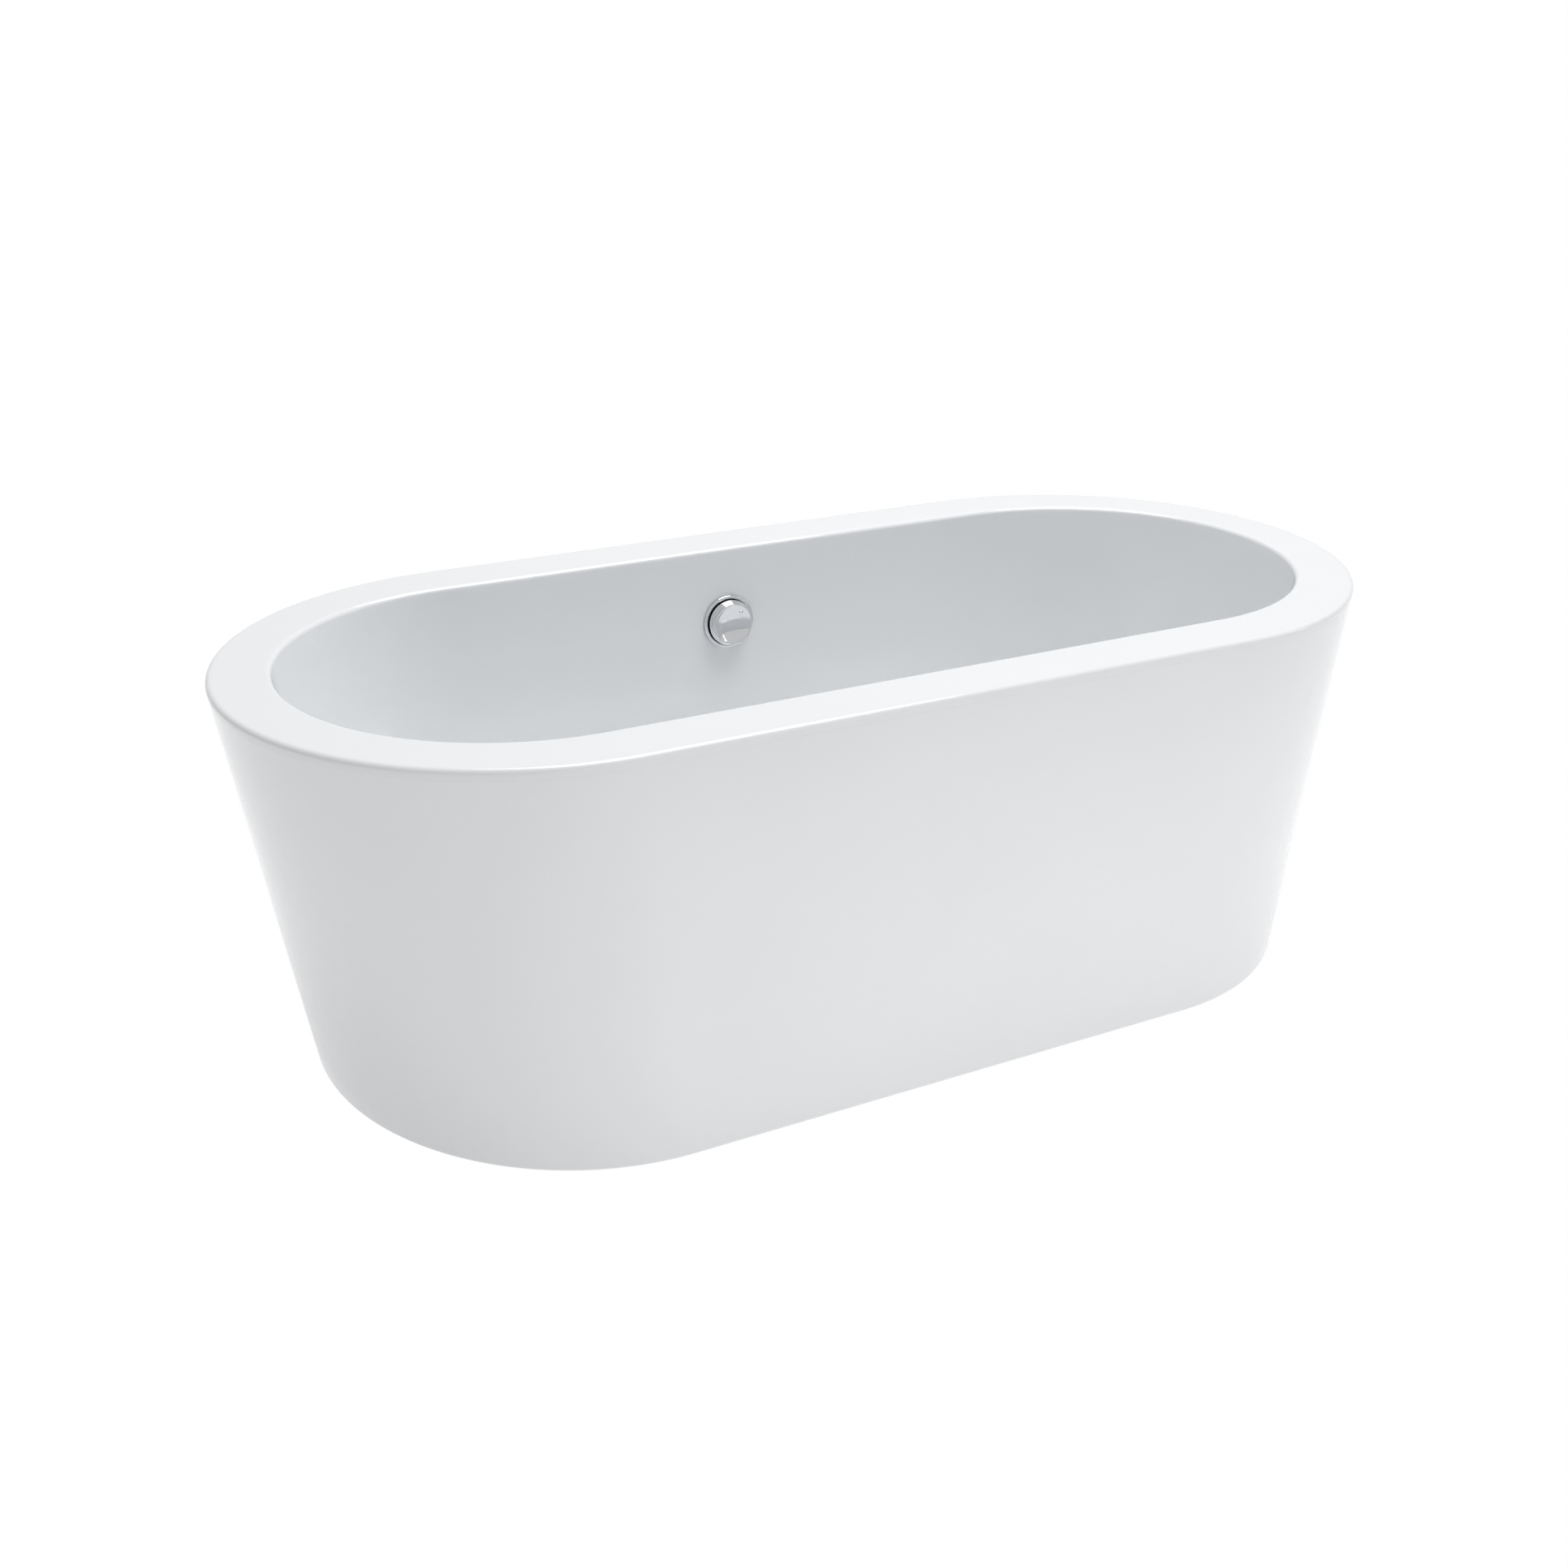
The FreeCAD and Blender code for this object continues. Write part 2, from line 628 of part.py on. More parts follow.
def bracket_screws():
    """Screws from the brackets into the crossbars and the battens."""
    screws = []
    flat_spots, upright_spots = bracket_screw_spots()
    for p in flat_spots:
        top = p + V(0, 0, BRACKET_PLATE)
        head = rod(top, UP, SCREW_HEAD, SCREW_HEAD_RADIUS)
        screws.append(joined([head, rod(top, -UP, BRACKET_PLATE + SCREW_GRIP, SCREW_RADIUS)]))
    for p, sy in upright_spots:
        way = V(0, -sy, 0)
        head = rod(p + way * BRACKET_PLATE, way, SCREW_HEAD, SCREW_HEAD_RADIUS)
        screws.append(joined([head, rod(p, way, BRACKET_PLATE, SCREW_RADIUS)]))
    return group(screws)


def foot_nuts(top):
    """The threaded nuts of the feet: welded on the crossbar's top, or locking under it."""
    z = BAR_Z + TUBE if top else BAR_Z - NUT_HEIGHT
    bore = STUD_RADIUS + RUNNING
    return group([hexagon(p + V(0, 0, z), NUT_FLATS, NUT_HEIGHT, bore) for p in feet()])


def foot_stud(spot):
    """Threaded stud with a spanner hexagon, its lower end in the pad's socket."""
    top = BAR_Z + TUBE + NUT_HEIGHT + STUD_SPARE
    foot = SOCKET_FLOOR + OPEN_GAP
    stud = rod(spot + V(0, 0, foot), UP, top - foot, STUD_RADIUS)
    return joined([stud, hexagon(spot + V(0, 0, SPANNER_Z), SPANNER_FLATS, SPANNER_HEIGHT, 0)])


def foot_pad(spot):
    """Round pad on the floor, with a socket that the stud turns in."""
    socket = STUD_RADIUS + RUNNING
    neck = STUD_RADIUS + SOCKET_WALL
    pad = turned([
        (0, 0), (PAD_RADIUS - PAD_EDGE, 0), (PAD_RADIUS, PAD_EDGE), (PAD_RADIUS, PAD_THICKNESS),
        (neck, PAD_SHOULDER), (neck, SOCKET_TOP), (socket, SOCKET_TOP), (socket, SOCKET_FLOOR),
        (0, SOCKET_FLOOR),
    ])
    pad.translate(spot)
    return pad


# ---- drain ---------------------------------------------------------------------------------
def drain_flange():
    """Chrome flange with a dished seat, screwed down into the drain body."""
    z = FLANGE_Z
    top = z + FLANGE_FACE
    thread_end = BODY_TOP - DRAIN_THREAD
    face = turned([
        (DRAIN_FLANGE_RADIUS, z), (DRAIN_FLANGE_RADIUS, top - FLANGE_SLOPE),
        (DRAIN_FLANGE_RADIUS - FLANGE_SLOPE, top), (DRAIN_FLANGE_RADIUS - FLANGE_TOP, top),
        (DRAIN_THREAD_RADIUS, z - SEAT_DROP), (DRAIN_BORE_RADIUS, z - SEAT_DEPTH),
        (DRAIN_BORE_RADIUS, thread_end), (DRAIN_THREAD_RADIUS, thread_end), (DRAIN_THREAD_RADIUS, z),
    ])
    low = thread_end + SPIDER_RISE
    reach = DRAIN_BORE_RADIUS + SPIDER_ROOT
    bars = []
    for half in (V(reach, SPIDER_BAR / 2, 0), V(SPIDER_BAR / 2, reach, 0)):
        bars.append(box_between(V(0, 0, low) - half, V(0, 0, low + SPIDER_HEIGHT) + half))
    boss = rod(V(0, 0, low), UP, SPIDER_BOSS, 2 * LIFT_PIN_RADIUS)
    guide = drain_hole(LIFT_PIN_RADIUS + RUNNING, low, low + SPIDER_BOSS)
    return joined([face, boss] + bars).cut(guide)


def drain_flange_seal():
    """Seal between the flange and the basin."""
    outer = DRAIN_FLANGE_RADIUS - FLANGE_SEAL_INSET
    return tube(V(0, 0, POCKET_Z), UP, FLANGE_SEAL, outer, DRAIN_HOLE_RADIUS)


def drain_body_seal():
    """Seal between the basin and the drain body."""
    outer = BODY_RADIUS + BODY_COLLAR - BODY_WALL
    return tube(V(0, 0, BODY_TOP), UP, BODY_SEAL, outer, DRAIN_HOLE_RADIUS)


def crank_axis(x):
    """A point on the crank's axis."""
    return V(x, -CRANK_FINGER, CRANK_Z)


def drain_body():
    """Plastic body under the floor: thread, hose port, crank housing, cable boss and outlet."""
    thread = DRAIN_THREAD_RADIUS + THREAD_GAP
    inner = BODY_RADIUS - BODY_WALL
    spigot = OUTLET_RADIUS + BODY_WALL
    collar = BODY_RADIUS + BODY_COLLAR
    shoulder = BODY_TOP - BODY_COLLAR_HEIGHT
    low = BODY_FOOT - SPIGOT
    pipe_bore = OUTLET_RADIUS - OUTLET_WALL
    socket = OUTLET_RADIUS + THREAD_GAP
    outside = turned([
        (0, BODY_TOP), (collar, BODY_TOP), (collar, shoulder), (BODY_RADIUS, shoulder),
        (BODY_RADIUS, BODY_FOOT), (spigot, BODY_FOOT), (spigot, low), (0, low),
    ])
    inside = turned([
        (0, BODY_TOP), (thread, BODY_TOP), (thread, BODY_TOP - BODY_THREAD), (inner, BODY_TOP - BODY_THREAD),
        (inner, BODY_FOOT + BODY_WALL), (pipe_bore, BODY_FOOT + BODY_WALL),
        (pipe_bore, BODY_FOOT - SPIGOT_STOP), (socket, BODY_FOOT - SPIGOT_STOP), (socket, low), (0, low),
    ])
    port_length = BODY_RADIUS + PORT_RADIUS
    cable = V(-CABLE_OFFSET, -CRANK_FINGER, CRANK_Z - CRANK_LEVER)
    cable_length = CABLE_BOSS_END + CRANK_FINGER
    body = joined([
        outside,
        rod(V(0, 0, HOSE_Z), ACROSS, port_length, PORT_RADIUS),
        rod(crank_axis(HOUSING_START), ALONG, HOUSING_LENGTH, HOUSING_RADIUS),
        rod(cable, ACROSS, cable_length, CABLE_BOSS),
    ])
    cuts = [
        inside,
        rod(V(0, 0, HOSE_Z), ACROSS, port_length, HOSE_BORE),
        rod(crank_axis(HOUSING_START), ALONG, HOUSING_DEPTH, HOUSING_BORE),
        rod(crank_axis(CRANK_LEVER_START), ALONG, -CRANK_LEVER_START, CRANK_SHAFT_RADIUS + RUNNING),
        rod(cable, ACROSS, cable_length, CABLE_WIRE),
    ]
    return body.cut(group(cuts))


def crank_cover():
    """Round cover of the crank housing."""
    start = crank_axis(HOUSING_START)
    lip = rod(start, ALONG, COVER_LIP, HOUSING_BORE - THREAD_GAP)
    return joined([rod(start, -ALONG, COVER_PLATE, HOUSING_RADIUS), lip])


def lift_crank():
    """Brass crank: a finger under the lift pin, a shaft and the lever that the cable pulls."""
    side = CRANK_FINGER_WIDTH / 2
    half = CRANK_FINGER_HEIGHT / 2
    shaft = rod(crank_axis(CRANK_START), ALONG, side - CRANK_START, CRANK_SHAFT_RADIUS)
    finger = box_between(crank_axis(-side) - V(0, 0, half), crank_axis(side) + V(0, CRANK_FINGER, half))
    tip = rod(crank_axis(-side) + V(0, CRANK_FINGER, 0), ALONG, CRANK_FINGER_WIDTH, half)
    thick = V(0, CRANK_LEVER_THICKNESS / 2, 0)
    drop = V(0, 0, CRANK_LEVER)
    root = crank_axis(CRANK_LEVER_START)
    lever = box_between(root - thick - drop, root + thick + V(CRANK_FINGER_WIDTH, 0, 0))
    eye = rod(root - drop, ALONG, CRANK_FINGER_WIDTH, CRANK_EYE_RADIUS)
    crank = joined([shaft, finger, tip, lever, eye])
    crank.rotate(crank_axis(0), ALONG, -CRANK_SWING / 2)
    return crank


def finger_top():
    """The top of the crank's finger when the plug is down."""
    return CRANK_Z - CRANK_FINGER * math.sin(math.radians(CRANK_SWING / 2)) + CRANK_FINGER_HEIGHT / 2


def drain_plug():
    """Domed chrome plug."""
    z = FLANGE_Z + PLUG_SEAT
    rim = PLUG_RADIUS
    neck = z - PLUG_NECK
    crown = V(0, 0, z + PLUG_CROWN)
    edge = V(rim - PLUG_EDGE, 0, z + 2 * PLUG_EDGE)
    rise = crown.z - edge.z
    ball = (edge.x ** 2 + rise ** 2) / (2 * rise)
    turn = math.asin(edge.x / ball) / 2
    middle = crown + V(ball * math.sin(turn), 0, ball * (math.cos(turn) - 1))
    dome = Part.Arc(crown, middle, edge).toShape()
    corners = [edge, V(rim, 0, z + PLUG_EDGE), V(rim - PLUG_EDGE, 0, z)]
    corners += [V(PLUG_NECK_RADIUS, 0, z), V(PLUG_NECK_RADIUS, 0, neck), V(0, 0, neck), crown]
    face = Part.Face(Part.Wire([dome] + Part.makePolygon(corners).Edges))
    return face.revolve(V(0, 0, 0), UP, 360)


def plug_seal():
    """Rubber ring around the plug's neck."""
    start = V(0, 0, FLANGE_Z - PLUG_SEAL_DROP + SEAT_GAP)
    return tube(start, UP, PLUG_SEAL, DRAIN_BORE_RADIUS + PLUG_SEAL_OVERLAP, PLUG_NECK_RADIUS)


def lift_pin():
    """Brass pin under the plug, with a pointed foot for the crank's finger."""
    low = finger_top() + OPEN_GAP
    high = FLANGE_Z + PLUG_SEAT - PLUG_NECK
    shoulder = low + LIFT_PIN_RADIUS
    return turned([
        (0, low), (PIN_TIP_RADIUS, low), (LIFT_PIN_RADIUS, shoulder), (LIFT_PIN_RADIUS, high), (0, high),
    ])


def outlet_tailpiece():
    """Waste pipe with a stop bead; the trap slides on below the bead."""
    start = V(0, 0, OUTLET_CLEARANCE)
    length = BODY_FOOT - OUTLET_DEPTH - OUTLET_CLEARANCE
    bead = rod(start + V(0, 0, OUTLET_FREE), UP, OUTLET_BEAD, OUTLET_RADIUS + OUTLET_BEAD_HEIGHT)
    whole = joined([rod(start, UP, length, OUTLET_RADIUS), bead])
    return whole.cut(rod(start, UP, length, OUTLET_RADIUS - OUTLET_WALL))


def outlet_seal():
    """Seal between the outlet pipe and the body's spigot."""
    start = V(0, 0, BODY_FOOT - SPIGOT - OUTLET_SEAL)
    return tube(start, UP, OUTLET_SEAL, OUTLET_RADIUS + BODY_WALL, OUTLET_RADIUS)


def outlet_nut():
    """Nut that squeezes the outlet seal onto the pipe."""
    low = V(0, 0, BODY_FOOT - SPIGOT - OUTLET_SEAL - OUTLET_NUT_WALL)
    spigot = OUTLET_RADIUS + BODY_WALL + THREAD_GAP
    nut = hexagon(low, 2 * (spigot + OUTLET_NUT_WALL), OUTLET_NUT, OUTLET_RADIUS + THREAD_GAP)
    return nut.cut(rod(low + V(0, 0, OUTLET_NUT_WALL), UP, OUTLET_NUT, spigot))


# ---- overflow, on its own axes: +Z out of the wall into the well, +Y up the wall --------------
FLANGE_BACK = -WALL - BACK_SEAL            # front of the body's flange
CUP_BACK = FLANGE_BACK - CUP_DEPTH
CHAMBER_BACK = CUP_BACK - CHAMBER_DEPTH
HOSE_PORT_Z = -WALL - HOSE_NUT_PLAY - NUT_RADIUS
CABLE_PORT_Z = CUP_BACK - CHAMBER_DEPTH / 2
WEB_FACE = FACE_SEAL + TRIM_WEB


def trim_ring():
    """Chrome ring on the wall, with a drilled web behind the knob."""
    step = KNOB_STEPS[0][0] + 2 * OPEN_GAP
    ring = turned([
        (TRIM_HUB_HOLE, FACE_SEAL), (TRIM_RADIUS - TRIM_BACK_EDGE, FACE_SEAL),
        (TRIM_RADIUS, FACE_SEAL + TRIM_BACK_EDGE), (TRIM_RADIUS, TRIM_FACE - TRIM_EDGE),
        (TRIM_RADIUS - TRIM_EDGE_BOW, TRIM_FACE - TRIM_EDGE_BOW), (TRIM_RADIUS - TRIM_EDGE, TRIM_FACE),
        (step, TRIM_FACE), (step, WEB_FACE), (TRIM_HUB_HOLE, WEB_FACE),
    ])
    outer = OVERFLOW_HOLE_RADIUS - OPEN_GAP
    neck = tube(V(0, 0, -ACRYLIC), UP, ACRYLIC + FACE_SEAL, outer, outer - TRIM_NECK)
    cuts = [rod(V(x, 0, 0), UP, TRIM_FACE, TRIM_SCREW_RADIUS) for x in TRIM_SCREWS]
    for k in range(WEB_HOLES):
        angle = 2 * math.pi * (k + 0.5) / WEB_HOLES
        place = V(math.cos(angle), math.sin(angle), 0) * WEB_HOLE_PLACE
        cuts.append(rod(place, UP, TRIM_FACE, WEB_HOLE_RADIUS))
    return joined([ring, neck]).cut(group(cuts))


def face_seal():
    """Seal between the trim ring and the wall."""
    return tube(V(0, 0, 0), UP, FACE_SEAL, TRIM_RADIUS - TRIM_EDGE, OVERFLOW_HOLE_RADIUS)


def back_seal():
    """Seal between the wall and the overflow body."""
    return tube(V(0, 0, FLANGE_BACK), UP, BACK_SEAL, CUP_RADIUS + COLLAR, OVERFLOW_HOLE_RADIUS)


def trim_screws():
    """Screws through the ring's web into the body's bosses."""
    screws = []
    low = FLANGE_BACK - TRIM_SCREW_BITE
    for x in TRIM_SCREWS:
        shank = rod(V(x, 0, low), UP, WEB_FACE - low, TRIM_SCREW_RADIUS)
        head = rod(V(x, 0, WEB_FACE), UP, TRIM_SCREW_HEAD, 2 * TRIM_SCREW_HEAD)
        screws.append(joined([shank, head]))
    return group(screws)


def overflow_body():
    """Plastic body behind the wall: cup, spindle bearing, hose port and cable chamber."""
    down = V(0, -1, 0)
    outside = [
        rod(V(0, 0, FLANGE_BACK - COLLAR_HEIGHT), UP, COLLAR_HEIGHT, CUP_RADIUS + COLLAR),
        rod(V(0, 0, CUP_BACK), UP, CUP_DEPTH, CUP_RADIUS),
        rod(V(0, 0, CHAMBER_BACK), UP, CHAMBER_DEPTH, CHAMBER_RADIUS),
        rod(V(0, 0, HOSE_PORT_Z), down, HOSE_PORT_END, PORT_RADIUS),
        rod(V(0, 0, CABLE_PORT_Z), down, CABLE_PORT_END, CABLE_BOSS),
    ]
    body = joined(outside)
    body = body.cut(rod(V(0, 0, CUP_BACK + CUP_WALL), UP, CUP_DEPTH, CUP_RADIUS - CUP_WALL))
    body = body.cut(rod(V(0, 0, HOSE_PORT_Z), down, HOSE_PORT_END, HOSE_BORE))
    bearing = CUP_DEPTH - SPINDLE_BOSS_BACK
    bosses = [rod(V(0, 0, CUP_BACK), UP, bearing, SPINDLE_RADIUS + SPINDLE_BOSS_WALL)]
    boss = CUP_DEPTH - TRIM_BOSS_BACK
    bosses += [rod(V(x, 0, CUP_BACK), UP, boss, TRIM_BOSS_RADIUS) for x in TRIM_SCREWS]
    body = joined([body] + bosses)
    bite = FLANGE_BACK - TRIM_SCREW_BITE
    cuts = [rod(V(x, 0, bite), UP, TRIM_SCREW_BITE, TRIM_SCREW_RADIUS) for x in TRIM_SCREWS]
    cuts.append(rod(V(0, 0, CHAMBER_BACK), UP, CHAMBER_DEPTH + CUP_DEPTH, SPINDLE_RADIUS + RUNNING))
    cuts.append(rod(V(0, 0, CHAMBER_BACK), UP, CHAMBER_DEPTH, CHAMBER_RADIUS - CUP_WALL))
    cuts.append(rod(V(0, 0, CABLE_PORT_Z), down, CABLE_PORT_END, CABLE_WIRE))
    return body.cut(group(cuts))


def chamber_cover():
    """Cover on the back of the cable chamber."""
    start = V(0, 0, CHAMBER_BACK)
    lip = rod(start, UP, CHAMBER_LIP, CHAMBER_RADIUS - CUP_WALL - THREAD_GAP)
    return joined([rod(start, -UP, CHAMBER_LID, CHAMBER_RADIUS), lip])


def overflow_knob():
    """Chrome knob: three stepped rings and a dished face, with a hub behind."""
    points = [V(0, 0, KNOB_BACK)]
    z = KNOB_BACK
    for radius, end in KNOB_STEPS:
        inner = radius - KNOB_EDGE
        points += [V(inner, 0, z), V(radius, 0, z + KNOB_EDGE)]
        points += [V(radius, 0, end - KNOB_EDGE), V(inner, 0, end)]
        z = end
    edge = V(KNOB_STEPS[-1][0] - KNOB_LIP, 0, KNOB_FACE)
    points.append(edge)
    centre = V(0, 0, KNOB_FACE - KNOB_DISH)
    ball = (edge.x ** 2 + KNOB_DISH ** 2) / (2 * KNOB_DISH)
    turn = math.asin(edge.x / ball) / 2
    middle = centre + V(ball * math.sin(turn), 0, ball * (1 - math.cos(turn)))
    dish = Part.Arc(edge, middle, centre).toShape()
    outline = Part.makePolygon(points).Edges + [dish, Part.makeLine(centre, points[0])]
    head = Part.Face(Part.Wire(outline)).revolve(V(0, 0, 0), UP, 360)
    start = V(0, 0, -HUB_DEPTH)
    hub = rod(start, UP, KNOB_BACK + HUB_DEPTH, SPINDLE_RADIUS + HUB_WALL)
    return joined([head, hub]).cut(rod(start, UP, KNOB_BACK + HUB_DEPTH, SPINDLE_RADIUS))


def knob_spindle():
    """Brass spindle from the knob back to the cable drum."""
    low = CABLE_PORT_Z
    return rod(V(0, 0, low), UP, KNOB_BACK - low, SPINDLE_RADIUS)


def cable_drum():
    """Disc on the spindle's end, with the pin that pulls the cable."""
    disc = rod(V(0, 0, CABLE_PORT_Z), -UP, DRUM_PLATE, DRUM_RADIUS)
    pin = rod(V(0, -DRUM_PIN, CABLE_PORT_Z - DRUM_PLATE), -UP, DRUM_PIN_RADIUS, DRUM_PIN_RADIUS)
    return joined([disc, pin])


# ---- hose and cable ------------------------------------------------------------------------
def rounded_route(points, radius_of):
    """Straight runs joined by tangent arcs, as one wire."""
    edges = []
    start = points[0]
    for k in range(1, len(points) - 1):
        back = (points[k - 1] - points[k]).normalize()
        on = (points[k + 1] - points[k]).normalize()
        half = (math.pi - back.getAngle(on)) / 2
        reach = radius_of(k, half) * math.tan(half)
        first = points[k] + back * reach
        last = points[k] + on * reach
        middle = (back + on).normalize()
        centre_far = reach / math.sin(half)
        centre = points[k] + middle * centre_far
        crown = centre - middle * (reach / math.tan(half))
        edges.append(Part.makeLine(start, first))
        edges.append(Part.Arc(first, crown, last).toShape())
        start = last
    edges.append(Part.makeLine(start, points[-1]))
    return Part.Wire(edges)


def pipe(route, radius):
    """A round bar along a route."""
    start = route.Vertexes[0].Point
    way = route.Edges[0].tangentAt(route.Edges[0].FirstParameter)
    section = Part.Wire(Part.makeCircle(radius, start, way))
    return route.makePipeShell([section], True, True)


def wall_point(y, z):
    """A point given on the overflow's own axes."""
    return overflow_place().multVec(V(0, y, z))


def hose_points():
    """Hose centre line: down behind the well, under it and in to the drain body."""
    top = wall_point(-HOSE_PORT_END - PORT_SEAL, HOSE_PORT_Z)
    lean = math.tan(math.radians(WELL_SIDE_LEAN))
    corner = V(0, top.y - (top.z - HOSE_Z) * lean, HOSE_Z)
    end = V(0, BODY_RADIUS + PORT_RADIUS + PORT_SEAL, HOSE_Z)
    return [top, corner, end]


def overflow_hose():
    """Hose from the overflow down to the drain body."""
    route = rounded_route(hose_points(), lambda k, half: HOSE_BEND)
    print("hose length", round(route.Length, 1), "bend", HOSE_BEND)
    return pipe(route, HOSE_RADIUS).cut(pipe(route, HOSE_BORE))


def cable_points():
    """Cable centre line: down beside the hose, under the rail and in to the crank housing."""
    top = wall_point(-CABLE_PORT_END, CABLE_PORT_Z)
    below = wall_point(-CABLE_PORT_END - 60, CABLE_PORT_Z)
    end = V(-CABLE_OFFSET, CABLE_BOSS_END, CRANK_Z - CRANK_LEVER)
    return [
        top,
        below,
        V(-CABLE_OFFSET, below.y - 10, below.z - 120),
        V(-CABLE_OFFSET - 6, below.y - 60, end.z + 40),
        V(-CABLE_OFFSET, end.y + 150, end.z),
        end,
    ]


def cable_radius(points):
    """Each bend is as large as its two runs allow."""
    def radius_of(k, half):
        shorter = min((points[k] - points[k - 1]).Length, (points[k + 1] - points[k]).Length)
        radius = 0.45 * shorter / math.tan(half)
        print("cable bend", k, round(radius, 1))
        return radius

    return radius_of


def control_cable():
    """Sheathed cable from the overflow's chamber to the crank housing."""
    points = cable_points()
    route = rounded_route(points, cable_radius(points))
    cable = pipe(route, CABLE_RADIUS)
    share = cable.Volume / (math.pi * CABLE_RADIUS ** 2 * route.Length)
    print("cable length", round(route.Length, 1), "volume share", round(share, 4))
    return cable


def cable_ferrules():
    """Brass sleeves over the cable's two ends."""
    points = cable_points()
    sleeves = []
    for end, inner in ((points[0], points[1]), (points[-1], points[-2])):
        way = (inner - end).normalize()
        sleeves.append(tube(end, way, FERRULE, CABLE_RADIUS + FERRULE_WALL, CABLE_RADIUS))
    return group(sleeves)


def hose_ends():
    """Each hose end with the way that the hose leaves it."""
    points = hose_points()
    return [(points[0], (points[1] - points[0]).normalize()), (points[2], ACROSS)]


def hose_nut(end, way):
    """Nut over a port's end, its seal and the hose."""
    lap = PORT_SEAL + NUT_LAP
    nut = tube(end - way * lap, way, NUT_LENGTH, NUT_RADIUS, HOSE_RADIUS + THREAD_GAP)
    return nut.cut(rod(end - way * lap, way, lap, PORT_RADIUS + THREAD_GAP))


def hose_seals():
    """Flat seals in the two hose nuts."""
    seals = []
    for end, way in hose_ends():
        seals.append(tube(end - way * PORT_SEAL, way, PORT_SEAL, PORT_RADIUS, HOSE_BORE))
    return group(seals)


# ---- the whole tub -------------------------------------------------------------------------
def parts():
    """Every node's name and shape."""
    yield "basin_shell", basin_shell()
    yield "basin_backing", basin_backing()
    yield "skirt_shell", skirt_shell()
    yield "skirt_backing", skirt_backing()
    yield "front_batten", batten(-1)
    yield "back_batten", batten(1)
    yield "base_board", base_board()
    yield "front_rail", frame_rail(-1)
    yield "back_rail", frame_rail(1)
    yield "left_crossbar", crossbar(-1)
    yield "right_crossbar", crossbar(1)
    yield "frame_end_plugs", frame_end_plugs()
    yield "board_screws", board_screws()
    yield "frame_bolts", frame_bolts()
    yield "frame_nuts", frame_nuts()
    yield "angle_brackets", angle_brackets()
    yield "bracket_screws", bracket_screws()
    yield "foot_weld_nuts", foot_nuts(True)
    yield "foot_lock_nuts", foot_nuts(False)
    for number, spot in enumerate(feet(), 1):
        yield f"foot_pad_{number}", foot_pad(spot)
        yield f"foot_stud_{number}", foot_stud(spot)
    yield "drain_flange", drain_flange()
    yield "drain_flange_seal", drain_flange_seal()
    yield "drain_body", drain_body()
    yield "drain_body_seal", drain_body_seal()
    yield "crank_cover", crank_cover()
    yield "lift_crank", lift_crank()
    yield "drain_plug", drain_plug()
    yield "plug_seal", plug_seal()
    yield "lift_pin", lift_pin()
    yield "outlet_tailpiece", outlet_tailpiece()
    yield "outlet_seal", outlet_seal()
    yield "outlet_nut", outlet_nut()
    yield "overflow_trim_ring", at_wall(trim_ring())
    yield "overflow_face_seal", at_wall(face_seal())
    yield "overflow_back_seal", at_wall(back_seal())
    yield "overflow_screws", at_wall(trim_screws())
    yield "overflow_body", at_wall(overflow_body())
    yield "chamber_cover", at_wall(chamber_cover())
    yield "overflow_knob", at_wall(overflow_knob())
    yield "knob_spindle", at_wall(knob_spindle())
    yield "cable_drum", at_wall(cable_drum())
    yield "overflow_hose", overflow_hose()
    for name, (end, way) in zip(("upper_hose_nut", "lower_hose_nut"), hose_ends()):
        yield name, hose_nut(end, way)
    yield "hose_seals", hose_seals()
    yield "control_cable", control_cable()
    yield "cable_ferrules", cable_ferrules()


def main():
    """Writes each part to its own STEP file."""
    os.makedirs("parts", exist_ok=True)
    for name, shape in parts():
        if not shape.isValid():
            print("not valid:", name)
        if shape.Volume <= 0:
            print("no volume:", name)
        shape.exportStep(f"parts/{name}.step")


main()
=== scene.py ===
"""Studio scene of a freestanding acrylic bathtub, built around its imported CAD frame.

Metres throughout.  +X runs along the tub, +Y towards the long wall that carries the overflow, +Z up.
"""

import json
import logging
import math
from contextlib import contextmanager
from dataclasses import dataclass
from enum import Enum
from typing import Callable, Iterable, Iterator, Optional

import bmesh
import bpy
from mathutils import Matrix, Vector


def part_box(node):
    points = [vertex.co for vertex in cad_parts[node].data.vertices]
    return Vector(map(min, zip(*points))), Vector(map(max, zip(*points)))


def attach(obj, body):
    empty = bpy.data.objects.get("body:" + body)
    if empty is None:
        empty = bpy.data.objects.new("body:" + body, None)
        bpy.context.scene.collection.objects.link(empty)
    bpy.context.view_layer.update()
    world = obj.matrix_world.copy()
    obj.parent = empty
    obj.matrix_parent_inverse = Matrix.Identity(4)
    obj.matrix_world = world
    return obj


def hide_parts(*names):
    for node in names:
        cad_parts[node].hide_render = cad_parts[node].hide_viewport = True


log = logging.getLogger("bathtub")
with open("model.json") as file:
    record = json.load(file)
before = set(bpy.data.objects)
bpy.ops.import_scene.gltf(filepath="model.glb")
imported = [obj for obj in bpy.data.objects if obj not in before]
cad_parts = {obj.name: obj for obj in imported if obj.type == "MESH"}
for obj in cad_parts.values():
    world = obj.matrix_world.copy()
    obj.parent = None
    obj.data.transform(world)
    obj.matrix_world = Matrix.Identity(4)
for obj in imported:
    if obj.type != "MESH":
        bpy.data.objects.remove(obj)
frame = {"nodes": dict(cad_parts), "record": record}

CLOSE = 1e-4           # two places are the same within this distance
MERGE = 2e-6           # doubles closer than this are merged
POLE = 1e-7            # radius of a ring that closes to a point
STRAIGHT_GUARD = 0.97  # share of a straight side where a column of vertices guards its end
